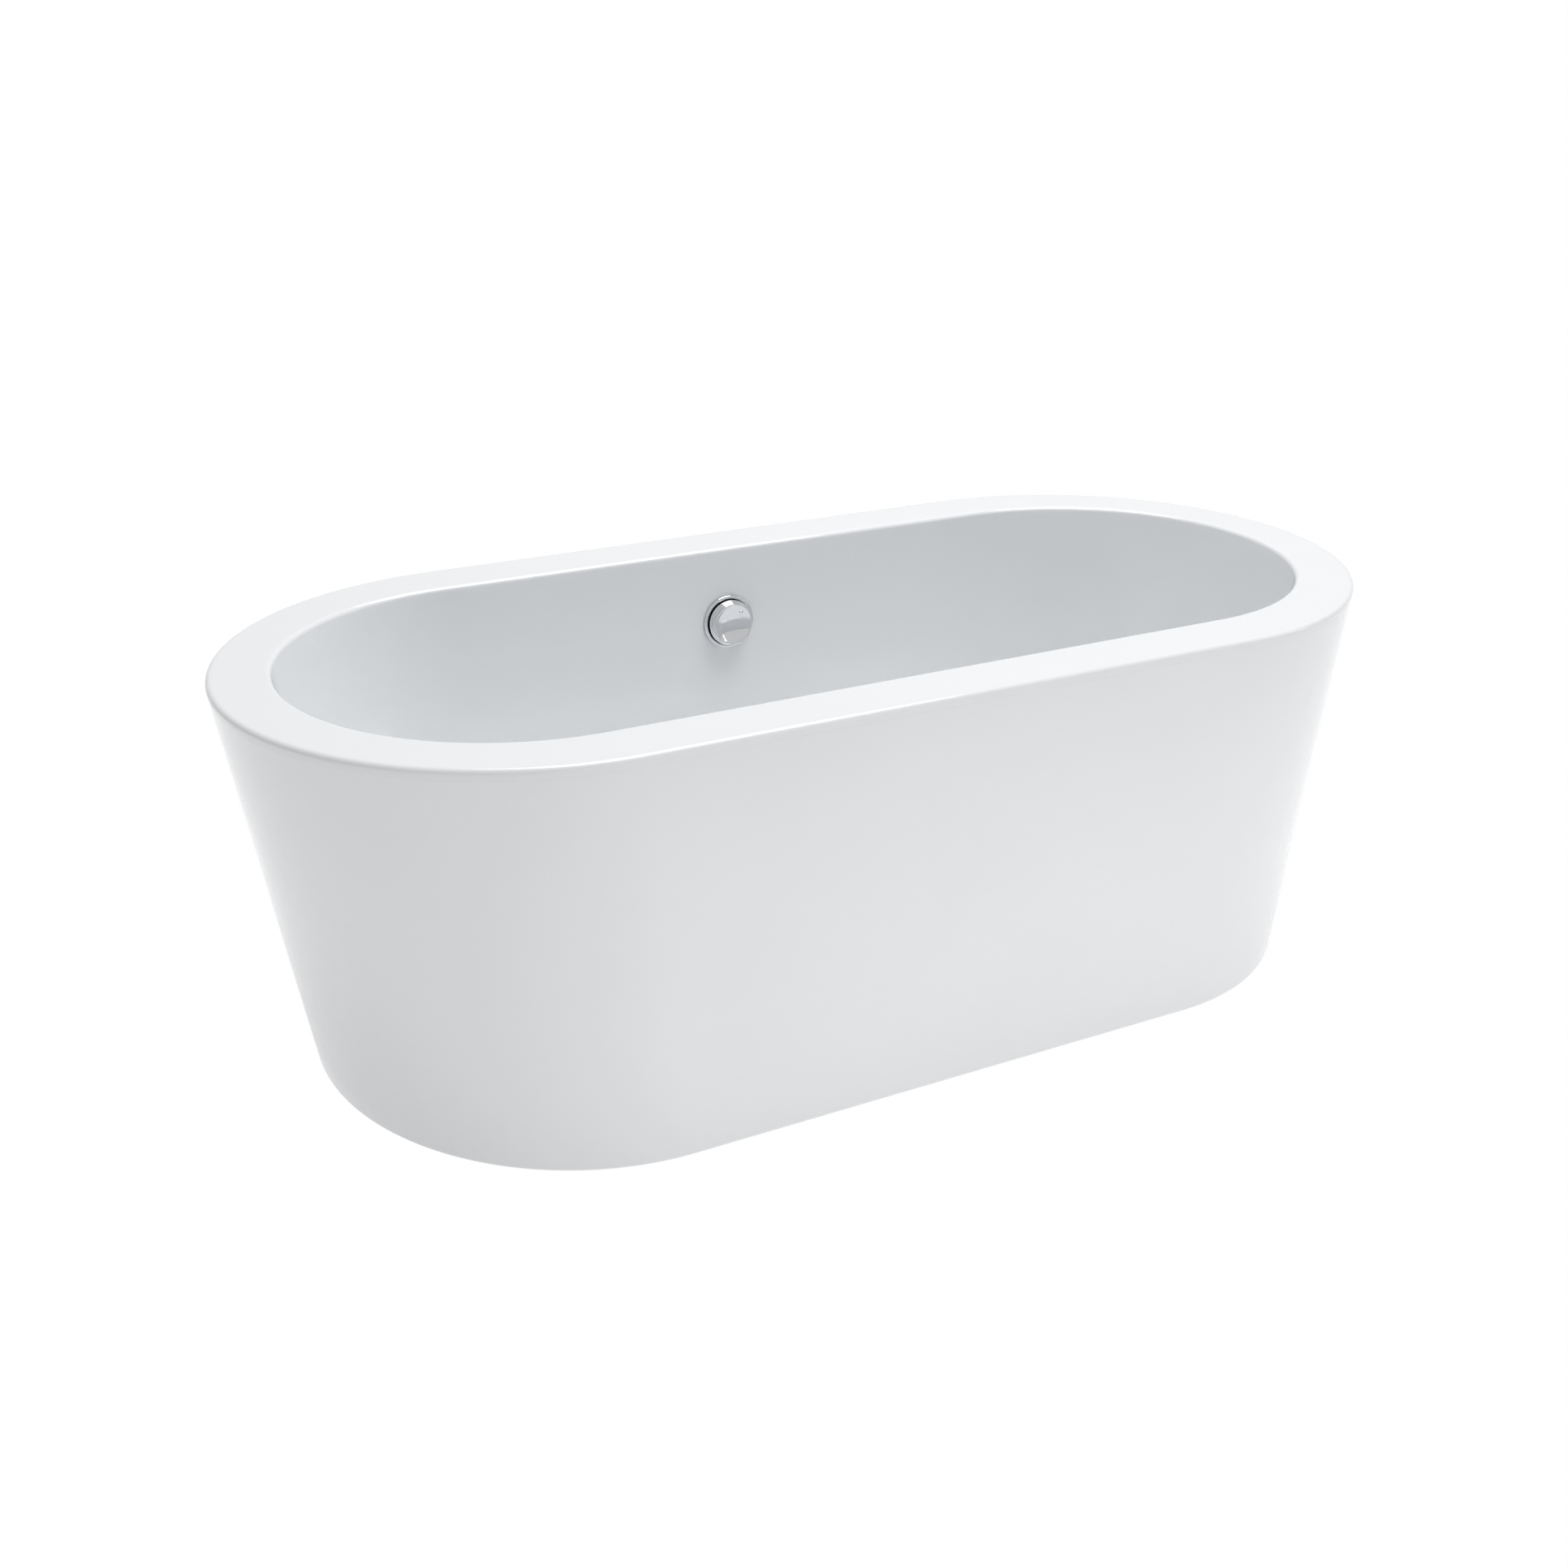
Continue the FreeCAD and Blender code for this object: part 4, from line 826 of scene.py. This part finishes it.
@dataclass
class Basin:
    """The acrylic basin: drain pocket, floor, walls, flat rim and turned-down lip.

    Args:
        form: the tub's outlines.
        hole: where the overflow's hole goes, its Z along the bore.
        sheet: thickness of the acrylic.
        drain_hole: radius of the drain's hole.
        pocket: radius of the drain's pocket.
        pocket_depth: its depth.
        middle: half-width of the flat around the pocket.
        overflow_hole: radius of the overflow's hole.
        seam: how far the lip's lower edge is eased in at the seam.
        segments: segments in a quarter turn.
    """

    form: TubForm
    hole: Matrix
    sheet: float = 0.004
    drain_hole: float = 0.026
    pocket: float = 0.038
    pocket_depth: float = 0.003
    middle: float = 0.046
    overflow_hole: float = 0.030
    seam: float = 0.0001
    segments: int = 64

    def pocket_rings(self) -> list[Ring]:
        """The drain's pocket, rounded at its foot and at its edge.

        Returns:
            Outlines with their heights.
        """
        soft = self.pocket_depth / 2
        low = self.form.floor - self.pocket_depth
        rings = [(circle(self.pocket - 2 * soft), low)]
        for angle in arc_levels(POCKET_STEPS):
            rings.append((circle(self.pocket - soft + soft * math.sin(angle)),
                          low + soft - soft * math.cos(angle)))
        for angle in arc_levels(POCKET_STEPS)[1:]:
            rings.append((circle(self.pocket + soft - soft * math.cos(angle)),
                          low + soft + soft * math.sin(angle)))
        return rings

    def floor_rings(self) -> list[Ring]:
        """The floor, from the flat around the drain to its rounded corner.

        Returns:
            Outlines with their heights.
        """
        form = self.form
        low = form.floor + form.floor_fall
        middle = Oval(2 * self.middle, self.middle, self.middle)
        edge = form.well(low)
        shares = [k / FLOOR_STEPS for k in range(FLOOR_STEPS)]
        rings = [(middle.toward(edge, share), form.floor + form.floor_fall * share) for share in shares]
        for angle in arc_levels(CORNER_STEPS):
            z = low + form.corner * (1 - math.cos(angle))
            rings.append((form.well(z), z))
        return rings

    def wall_rings(self) -> list[Ring]:
        """The walls, up to the rounded edge of the rim.

        Returns:
            Outlines with their heights.
        """
        form = self.form
        start = form.floor + form.floor_fall + form.corner
        return [(form.well(z), z) for z in levels(start, form.height - form.edge, WALL_STEPS)]

    def rim_rings(self) -> list[Ring]:
        """The rim: inner edge, flat, outer edge and the lip down to the seam.

        Returns:
            Outlines with their heights.
        """
        form = self.form
        arc = [form.height - form.edge + form.edge * math.sin(a) for a in arc_levels(EDGE_STEPS)]
        rings = [(form.well(z), z) for z in arc[1:]]
        inner = form.well(form.height)
        outer = form.outside(form.height)
        guard = form.edge / 2
        rings.append((inner.grown(guard), form.height))
        rings += [(inner.toward(outer, k / RIM_STEPS), form.height) for k in range(1, RIM_STEPS)]
        rings.append((outer.grown(-guard), form.height))
        rings += [(form.outside(z), z) for z in reversed(arc)]
        rings.append((form.outside(form.lip + self.seam), form.lip + self.seam))
        rings.append((form.outside(form.lip).grown(-self.seam), form.lip))
        return rings

    def build(self) -> bpy.types.Object:
        """Draws the surface ring by ring, gives it its thickness and bores the overflow's hole.

        Returns:
            The basin.
        """
        first = (circle(self.drain_hole), self.form.floor - self.pocket_depth)
        stack = RingStack("basin", first, True, self.segments)
        stack.add_all(self.pocket_rings()).add_all(self.floor_rings())
        stack.add_all(self.wall_rings()).add_all(self.rim_rings())
        basin = stack.close()
        Bench.face_up(basin, self.form.height)
        Bench.apply(basin, "SOLIDIFY", thickness=self.sheet, offset=-1.0, use_even_offset=True)
        Bench.bore(basin, self.overflow_hole, BORE_SHEETS * self.sheet, self.hole)
        Bench.smooth(basin, SHELL_CREASE)
        settle(basin, "root", "acrylic", "basin_shell")
        return basin


@dataclass
class Skirt:
    """The acrylic skirt with its rounded, inturned foot.

    Args:
        form: the tub's outlines.
        foot: height of its lower edge.
        sheet: thickness of the acrylic.
        flange: width of the inturned foot.
        turn: radius of the foot's rounded edge.
        seam: how far the top edge is eased in at the seam.
        segments: segments in a quarter turn.
    """

    form: TubForm
    foot: float
    sheet: float = 0.004
    flange: float = 0.030
    turn: float = 0.0045
    seam: float = 0.0001
    segments: int = 64

    def rings(self) -> list[Ring]:
        """The skirt from its top edge down and in under the foot.

        Returns:
            Outlines with their heights.
        """
        form = self.form
        top = form.lip - self.seam
        rings = [(form.outside(top), top)]
        heights = levels(top, self.foot + self.turn, SKIRT_STEPS)
        rings += [(form.outside(z), z) for z in heights]
        for angle in arc_levels(FOOT_STEPS)[1:]:
            z = self.foot + self.turn * (1 - math.sin(angle))
            rings.append((form.skirt(z).grown(-self.turn * (1 - math.cos(angle))), z))
        foot = form.skirt(self.foot)
        rings.append((foot.grown(-2 * self.turn), self.foot))
        rings.append((foot.grown(-self.flange), self.foot))
        return rings

    def build(self) -> bpy.types.Object:
        """Draws the skirt and gives it its thickness.

        Returns:
            The skirt.
        """
        first = (self.form.outside(self.form.lip).grown(-self.seam), self.form.lip)
        skirt = RingStack("skirt", first, True, self.segments).add_all(self.rings()).close()
        Bench.face_out(skirt)
        Bench.apply(skirt, "SOLIDIFY", thickness=self.sheet, offset=-1.0, use_even_offset=True)
        Bench.smooth(skirt, SHELL_CREASE)
        settle(skirt, "root", "acrylic", "skirt_shell")
        return skirt


# ---- turned metalwork
EASE_SHARE = 0.45      # the most of a side that one corner's rounding takes

Profile = list[tuple[float, float]]


def turned(name: str, profile: Profile, segments: int = 32) -> bpy.types.Object:
    """A piece of turned work.

    Args:
        name: the piece's name.
        profile: (radius, height) points from its back, round its outside, to its front; one
            that starts on the axis has a flat back.
        segments: segments in a quarter turn.

    Returns:
        The piece, about the Z axis.
    """
    solid = profile[0][0] == 0.0
    points = profile[1:] if solid else profile
    rings = [(circle(max(radius, POLE)), z) for radius, z in points]
    piece = RingStack(name, rings[0], False, segments).add_all(rings[1:]).close()
    if solid:
        Bench.cap(piece)
    return piece


def eased(profile: Profile, ease: float, steps: int = 3) -> Profile:
    """The profile with each of its inner corners rounded.

    Args:
        profile: (radius, height) corners.
        ease: how far from a corner its rounding starts, where the sides leave room.
        steps: how many points a rounding has beyond its first.

    Returns:
        The rounded profile.
    """
    points = [Vector(p) for p in profile]
    out = [profile[0]]
    for before, corner, after in zip(points, points[1:], points[2:]):
        reach = min(ease, EASE_SHARE * (corner - before).length, EASE_SHARE * (after - corner).length)
        first = corner + (before - corner).normalized() * reach
        last = corner + (after - corner).normalized() * reach
        for k in range(steps + 1):
            t = k / steps
            out.append(tuple(first * (1 - t) ** 2 + corner * 2 * t * (1 - t) + last * t ** 2))
    out.append(profile[-1])
    return out


def dome(radius: float, rise: float, z: float, steps: int) -> Profile:
    """A spherical cap from its edge to its middle.

    Args:
        radius: radius of the edge.
        rise: height of the middle over the edge; below 0 for a dish.
        z: height of the edge.
        steps: how many points.

    Returns:
        The points, the edge's own left out.
    """
    ball = (radius ** 2 + rise ** 2) / (2 * abs(rise))
    points = []
    for k in range(steps - 1, -1, -1):
        r = radius * k / steps
        sag = ball - math.sqrt(ball ** 2 - r ** 2)
        points.append((r, z + rise - math.copysign(sag, rise)))
    return points


@dataclass
class OverflowSet:
    """The chrome trim ring and turn knob on the long wall.

    Args:
        place: the overflow's own axes, its Z out of the wall.
        ring_radius: outer radius of the trim ring.
        ring_face: the ring's face in front of the wall.
        ring_back: the ring's back, on its seal.
        web: thickness of the web behind the knob.
        hub_hole: radius of the hole for the knob's hub.
        hub: radius of the knob's hub.
        hub_back: the hub's end, behind the wall's face.
        knob_back: the knob's back.
        steps: the knob's stepped edge, as (radius, where the step ends).
        lip: flat edge around the dish.
        dish: depth of the dish.
        dish_steps: rings in the dish.
        play: gap between the knob and the ring's band.
        bevel: the ring's outer edge, as (width, depth).
        ease: rounding of every turned corner.
        drill: radius of the holes in the web.
        drill_depth: length of their bore.
        drill_circle: radius of the circle that they stand on.
        drills: how many there are.
    """

    place: Matrix
    ring_radius: float = 0.042
    ring_face: float = 0.0055
    ring_back: float = 0.0015
    web: float = 0.0015
    hub_hole: float = 0.009
    hub: float = 0.0075
    hub_back: float = -0.004
    knob_back: float = 0.008
    steps: tuple[tuple[float, float], ...] = ((0.036, 0.0118), (0.0342, 0.016), (0.0324, 0.0215))
    lip: float = 0.0022
    dish: float = 0.009
    dish_steps: int = 20
    play: float = 0.001
    bevel: tuple[float, float] = (0.0016, 0.0012)
    ease: float = 0.0007
    drill: float = 0.0055
    drill_depth: float = 0.020
    drill_circle: float = 0.019
    drills: int = 4

    def ring(self) -> bpy.types.Object:
        """The trim ring: rounded edge, flat band and the drilled web behind the knob.

        Returns:
            The ring.
        """
        band = self.steps[0][0] + self.play
        width, depth = self.bevel
        web_face = self.ring_back + self.web
        corners = [
            (self.hub_hole, self.ring_back), (self.ring_radius, self.ring_back),
            (self.ring_radius, self.ring_face - depth), (self.ring_radius - width, self.ring_face),
            (band, self.ring_face), (band, web_face), (self.hub_hole, web_face),
            (self.hub_hole, self.ring_back),
        ]
        ring = turned("overflow_ring", eased(corners, self.ease))
        for k in range(self.drills):
            turn = Matrix.Rotation(math.radians(360 * (k + 0.5) / self.drills), 4, "Z")
            hole = turn @ Matrix.Translation((self.drill_circle, 0.0, 0.0))
            Bench.bore(ring, self.drill, self.drill_depth, hole)
        Bench.place(ring, self.place)
        Bench.smooth(ring, METAL_CREASE)
        settle(ring, "root", "chrome", "overflow_trim_ring")
        return ring

    def knob(self) -> bpy.types.Object:
        """The knob: hub, stepped rings and a dished face.

        Returns:
            The knob.
        """
        corners: Profile = [(0.0, self.hub_back), (self.hub, self.hub_back), (self.hub, self.knob_back)]
        start = self.knob_back
        for radius, end in self.steps:
            corners += [(radius, start), (radius, end)]
            start = end
        edge = self.steps[-1][0] - self.lip
        corners.append((edge, start))
        dish = dome(edge, -self.dish, start, self.dish_steps)
        knob = turned("overflow_turn_knob", eased(corners + dish[:1], self.ease)[:-1] + dish)
        Bench.place(knob, self.place)
        Bench.smooth(knob, METAL_CREASE)
        settle(knob, "knob", "chrome", "overflow_knob")
        return knob


@dataclass
class PlugDome:
    """The domed chrome plug over the drain.

    Args:
        seat: height of the dome's underside.
        radius: the dome's radius.
        crown: the dome's height.
        neck: the neck's length.
        neck_radius: its radius.
        edge: thickness of the dome's edge.
        taper: how far the edge stands in at its top.
        ease: rounding of every turned corner.
        steps: rings in the dome.
    """

    seat: float
    radius: float = 0.031
    crown: float = 0.006
    neck: float = 0.006
    neck_radius: float = 0.017
    edge: float = 0.0012
    taper: float = 0.0003
    ease: float = 0.0005
    steps: int = 16

    def build(self) -> bpy.types.Object:
        """Turns the plug.

        Returns:
            The plug.
        """
        rim = self.seat + self.edge
        top = self.radius - self.taper
        corners = [
            (0.0, self.seat - self.neck), (self.neck_radius, self.seat - self.neck),
            (self.neck_radius, self.seat), (self.radius, self.seat), (top, rim),
        ]
        cap = dome(top, self.crown - self.edge, rim, self.steps)
        plug = turned("plug_dome", eased(corners + cap[:1], self.ease)[:-1] + cap)
        Bench.smooth(plug, METAL_CREASE)
        settle(plug, "plug", "chrome", "drain_plug")
        return plug


# ---- studio
def split_rays(tree: bpy.types.NodeTree, factor: bpy.types.NodeSocket, lit: bpy.types.NodeSocket,
               seen: bpy.types.NodeSocket, surface: bpy.types.NodeSocket) -> None:
    """Gives each kind of ray its own share of two shaders.

    Args:
        tree: the node tree.
        factor: the share of the second shader that a ray meets, 0 to 1.
        lit: the first shader, which plays its part in the light.
        seen: the second shader.
        surface: the tree's own output.
    """
    choice = tree.nodes.new("ShaderNodeMixShader")
    for source, target in zip((factor, lit, seen), choice.inputs):
        tree.links.new(source, target)
    tree.links.new(choice.outputs["Shader"], surface)


@dataclass(frozen=True)
class Lamp:
    """A soft rectangular light.

    Args:
        name: the light's name.
        place: where it stands.
        aim: where it points.
        size: its width and height.
        power: its power in watts.
    """

    name: str
    place: tuple[float, float, float]
    aim: tuple[float, float, float]
    size: tuple[float, float]
    power: float

    def hang(self) -> None:
        """Adds the light to the scene, hidden from the camera."""
        Bench.clear()
        bpy.ops.object.light_add(type="AREA", location=self.place)
        lamp = bpy.context.active_object
        lamp.name = self.name
        lamp.data.shape = "RECTANGLE"
        lamp.data.size, lamp.data.size_y = self.size
        lamp.data.energy = self.power
        lamp.visible_camera = False
        way = Vector(self.aim) - Vector(self.place)
        lamp.rotation_euler = way.to_track_quat("-Z", "Y").to_euler()


@dataclass
class Studio:
    """Pale floor, soft light and the camera.

    Args:
        eye: the camera's place.
        azimuth: the camera's turn about Z, in degrees.
        elevation: how far it looks down, in degrees.
        roll: its roll, in degrees.
        lens: its focal length in millimetres.
        sensor: the width of its sensor in millimetres.
        floor_size: the floor's side.
        floor_cells: cells of the floor's two tones, per metre.
        floor_tones: the floor's two tones.
        floor_glow: the light that the floor gives of itself.
        sky_tone: colour of the sky's light.
        sky_light: strength of the sky's light.
        sky_gloss: how far towards white the sky is in reflections.
    """

    eye: tuple[float, float, float] = (-1.2218, -2.2131, 1.3842)
    azimuth: float = -27.734
    elevation: float = 23.484
    roll: float = 0.251
    lens: float = 42.975
    sensor: float = 36.0
    floor_size: float = 60.0
    floor_cells: float = 2.0
    floor_tones: tuple[Colour, Colour] = ((0.45, 0.45, 0.45), (0.46, 0.46, 0.46))
    floor_glow: float = 0.62
    sky_tone: Colour = (0.96, 0.98, 1.0)
    sky_light: float = 0.34
    sky_gloss: float = 0.6

    def lamps(self) -> list[Lamp]:
        """The lights."""
        return [
            Lamp("strip_light", (3.6, -1.6, 1.7), (0.3, 0.0, 0.3), (0.3, 2.6), 3.5),
            Lamp("fill_light", (0.1, -3.2, 0.32), (0.0, -0.4, 0.2), (3.0, 0.5), 2.5),
            Lamp("low_light", (0.5, -1.2, 0.45), (0.5, -1.0, 0.0), (2.4, 0.3), 2.6),
            Lamp("top_light", (0.75, 0.1, 4.4), (0.0, 0.0, 0.4), (3.4, 2.6), 156.0),
        ]

    def floor(self) -> None:
        """The floor, wide enough to pass out of every view; the camera alone sees it plain white."""
        Bench.clear()
        bpy.ops.mesh.primitive_plane_add(size=self.floor_size, location=(0.0, 0.0, 0.0))
        floor = Bench.named("studio_floor")
        net = Net("studio_floor")
        pattern = net.spread(net.noise(self.floor_cells), 0.0, 1.0)
        net.link(net.mixed(pattern, *self.floor_tones), net.shader.inputs["Base Color"])
        net.set(Roughness=0.9, Specular_IOR_Level=0.1)
        net.set(Emission_Color=WHITE, Emission_Strength=self.floor_glow)
        white = net.add("ShaderNodeEmission", Strength=1.0)
        path = net.add("ShaderNodeLightPath")
        surface = net.tree.nodes["Material Output"].inputs["Surface"]
        split_rays(net.tree, path.outputs["Is Camera Ray"], net.shader.outputs["BSDF"],
                   white.outputs["Emission"], surface)
        floor.data.materials.append(net.material)

    def sky(self) -> None:
        """A grey sky: white to the camera, and between grey and white in reflections."""
        world = bpy.data.worlds.new("studio_sky")
        world.use_nodes = True
        bpy.context.scene.world = world
        tree = world.node_tree
        soft = tree.nodes["Background"]
        white = tree.nodes.new("ShaderNodeBackground")
        for node, tone, strength in ((soft, self.sky_tone, self.sky_light), (white, WHITE, 1.0)):
            node.inputs["Color"].default_value = (*tone, 1.0)
            node.inputs["Strength"].default_value = strength
        path = tree.nodes.new("ShaderNodeLightPath")
        share = tree.nodes.new("ShaderNodeMath")
        share.operation = "MULTIPLY_ADD"
        share.inputs[1].default_value = self.sky_gloss
        tree.links.new(path.outputs["Is Glossy Ray"], share.inputs[0])
        tree.links.new(path.outputs["Is Camera Ray"], share.inputs[2])
        split_rays(tree, share.outputs["Value"], soft.outputs["Background"],
                   white.outputs["Background"], tree.nodes["World Output"].inputs["Surface"])

    def camera(self) -> None:
        """The camera at the viewing angle."""
        turn, tilt, roll = (math.radians(a) for a in (self.azimuth, self.elevation, self.roll))
        back = Vector((math.sin(turn) * math.cos(tilt), -math.cos(turn) * math.cos(tilt), math.sin(tilt)))
        right = Vector((math.cos(turn), math.sin(turn), 0.0))
        up = back.cross(right)
        side = right * math.cos(roll) + up * math.sin(roll)
        top = up * math.cos(roll) - right * math.sin(roll)
        Bench.clear()
        bpy.ops.object.camera_add()
        camera = bpy.context.active_object
        camera.name = "studio_camera"
        camera.matrix_world = Matrix.Translation(self.eye) @ Matrix((side, top, back)).transposed().to_4x4()
        camera.data.sensor_width = self.sensor
        camera.data.lens = self.lens
        bpy.context.scene.camera = camera

    def build(self) -> None:
        """Sets the studio up."""
        self.camera()
        self.floor()
        self.sky()
        for lamp in self.lamps():
            lamp.hang()
        bpy.context.scene.view_settings.view_transform = "Standard"


# ---- the whole tub
def overflow_place(form: TubForm, height: float = 0.448) -> Matrix:
    """The overflow's own axes: +Z out of the long wall, +Y up the wall.

    Args:
        form: the tub's outlines.
        height: height of the overflow's middle.

    Returns:
        Its place and turn.
    """
    lean = form.side_lean
    out = Vector((0.0, -math.cos(lean), math.sin(lean)))
    up = Vector((0.0, math.sin(lean), math.cos(lean)))
    across = up.cross(out)
    turn = Matrix((across, up, out)).transposed().to_4x4()
    return Matrix.Translation((0.0, form.wall(height).half_width, height)) @ turn


def dress_frame() -> None:
    """Gives every node of the frame the finish of its slot."""
    for part in frame["record"]["subparts"]:
        dress(frame["nodes"][part["node"]], SLOT_FINISH[part["material_slot"]])
    log.info("dressed %d frame nodes", len(frame["nodes"]))


def corners(box: tuple[Vector, Vector]) -> list[list[float]]:
    """A box as plain lists."""
    return [[float(c) for c in corner] for corner in box]


def main() -> None:
    """Builds the pieces around the frame, dresses the frame and sets up the studio."""
    logging.basicConfig(level=logging.INFO, format="%(name)s: %(message)s")
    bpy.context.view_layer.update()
    form = TubForm.from_frame()
    place = overflow_place(form)
    Studio().build()
    Basin(form, place).build()
    Skirt(form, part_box("skirt_shell")[0].z).build()
    overflow = OverflowSet(place)
    overflow.ring()
    overflow.knob()
    PlugDome(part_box("drain_plug")[0].z + PlugDome.neck).build()
    dress_frame()


if __name__ == "__main__":
    main()
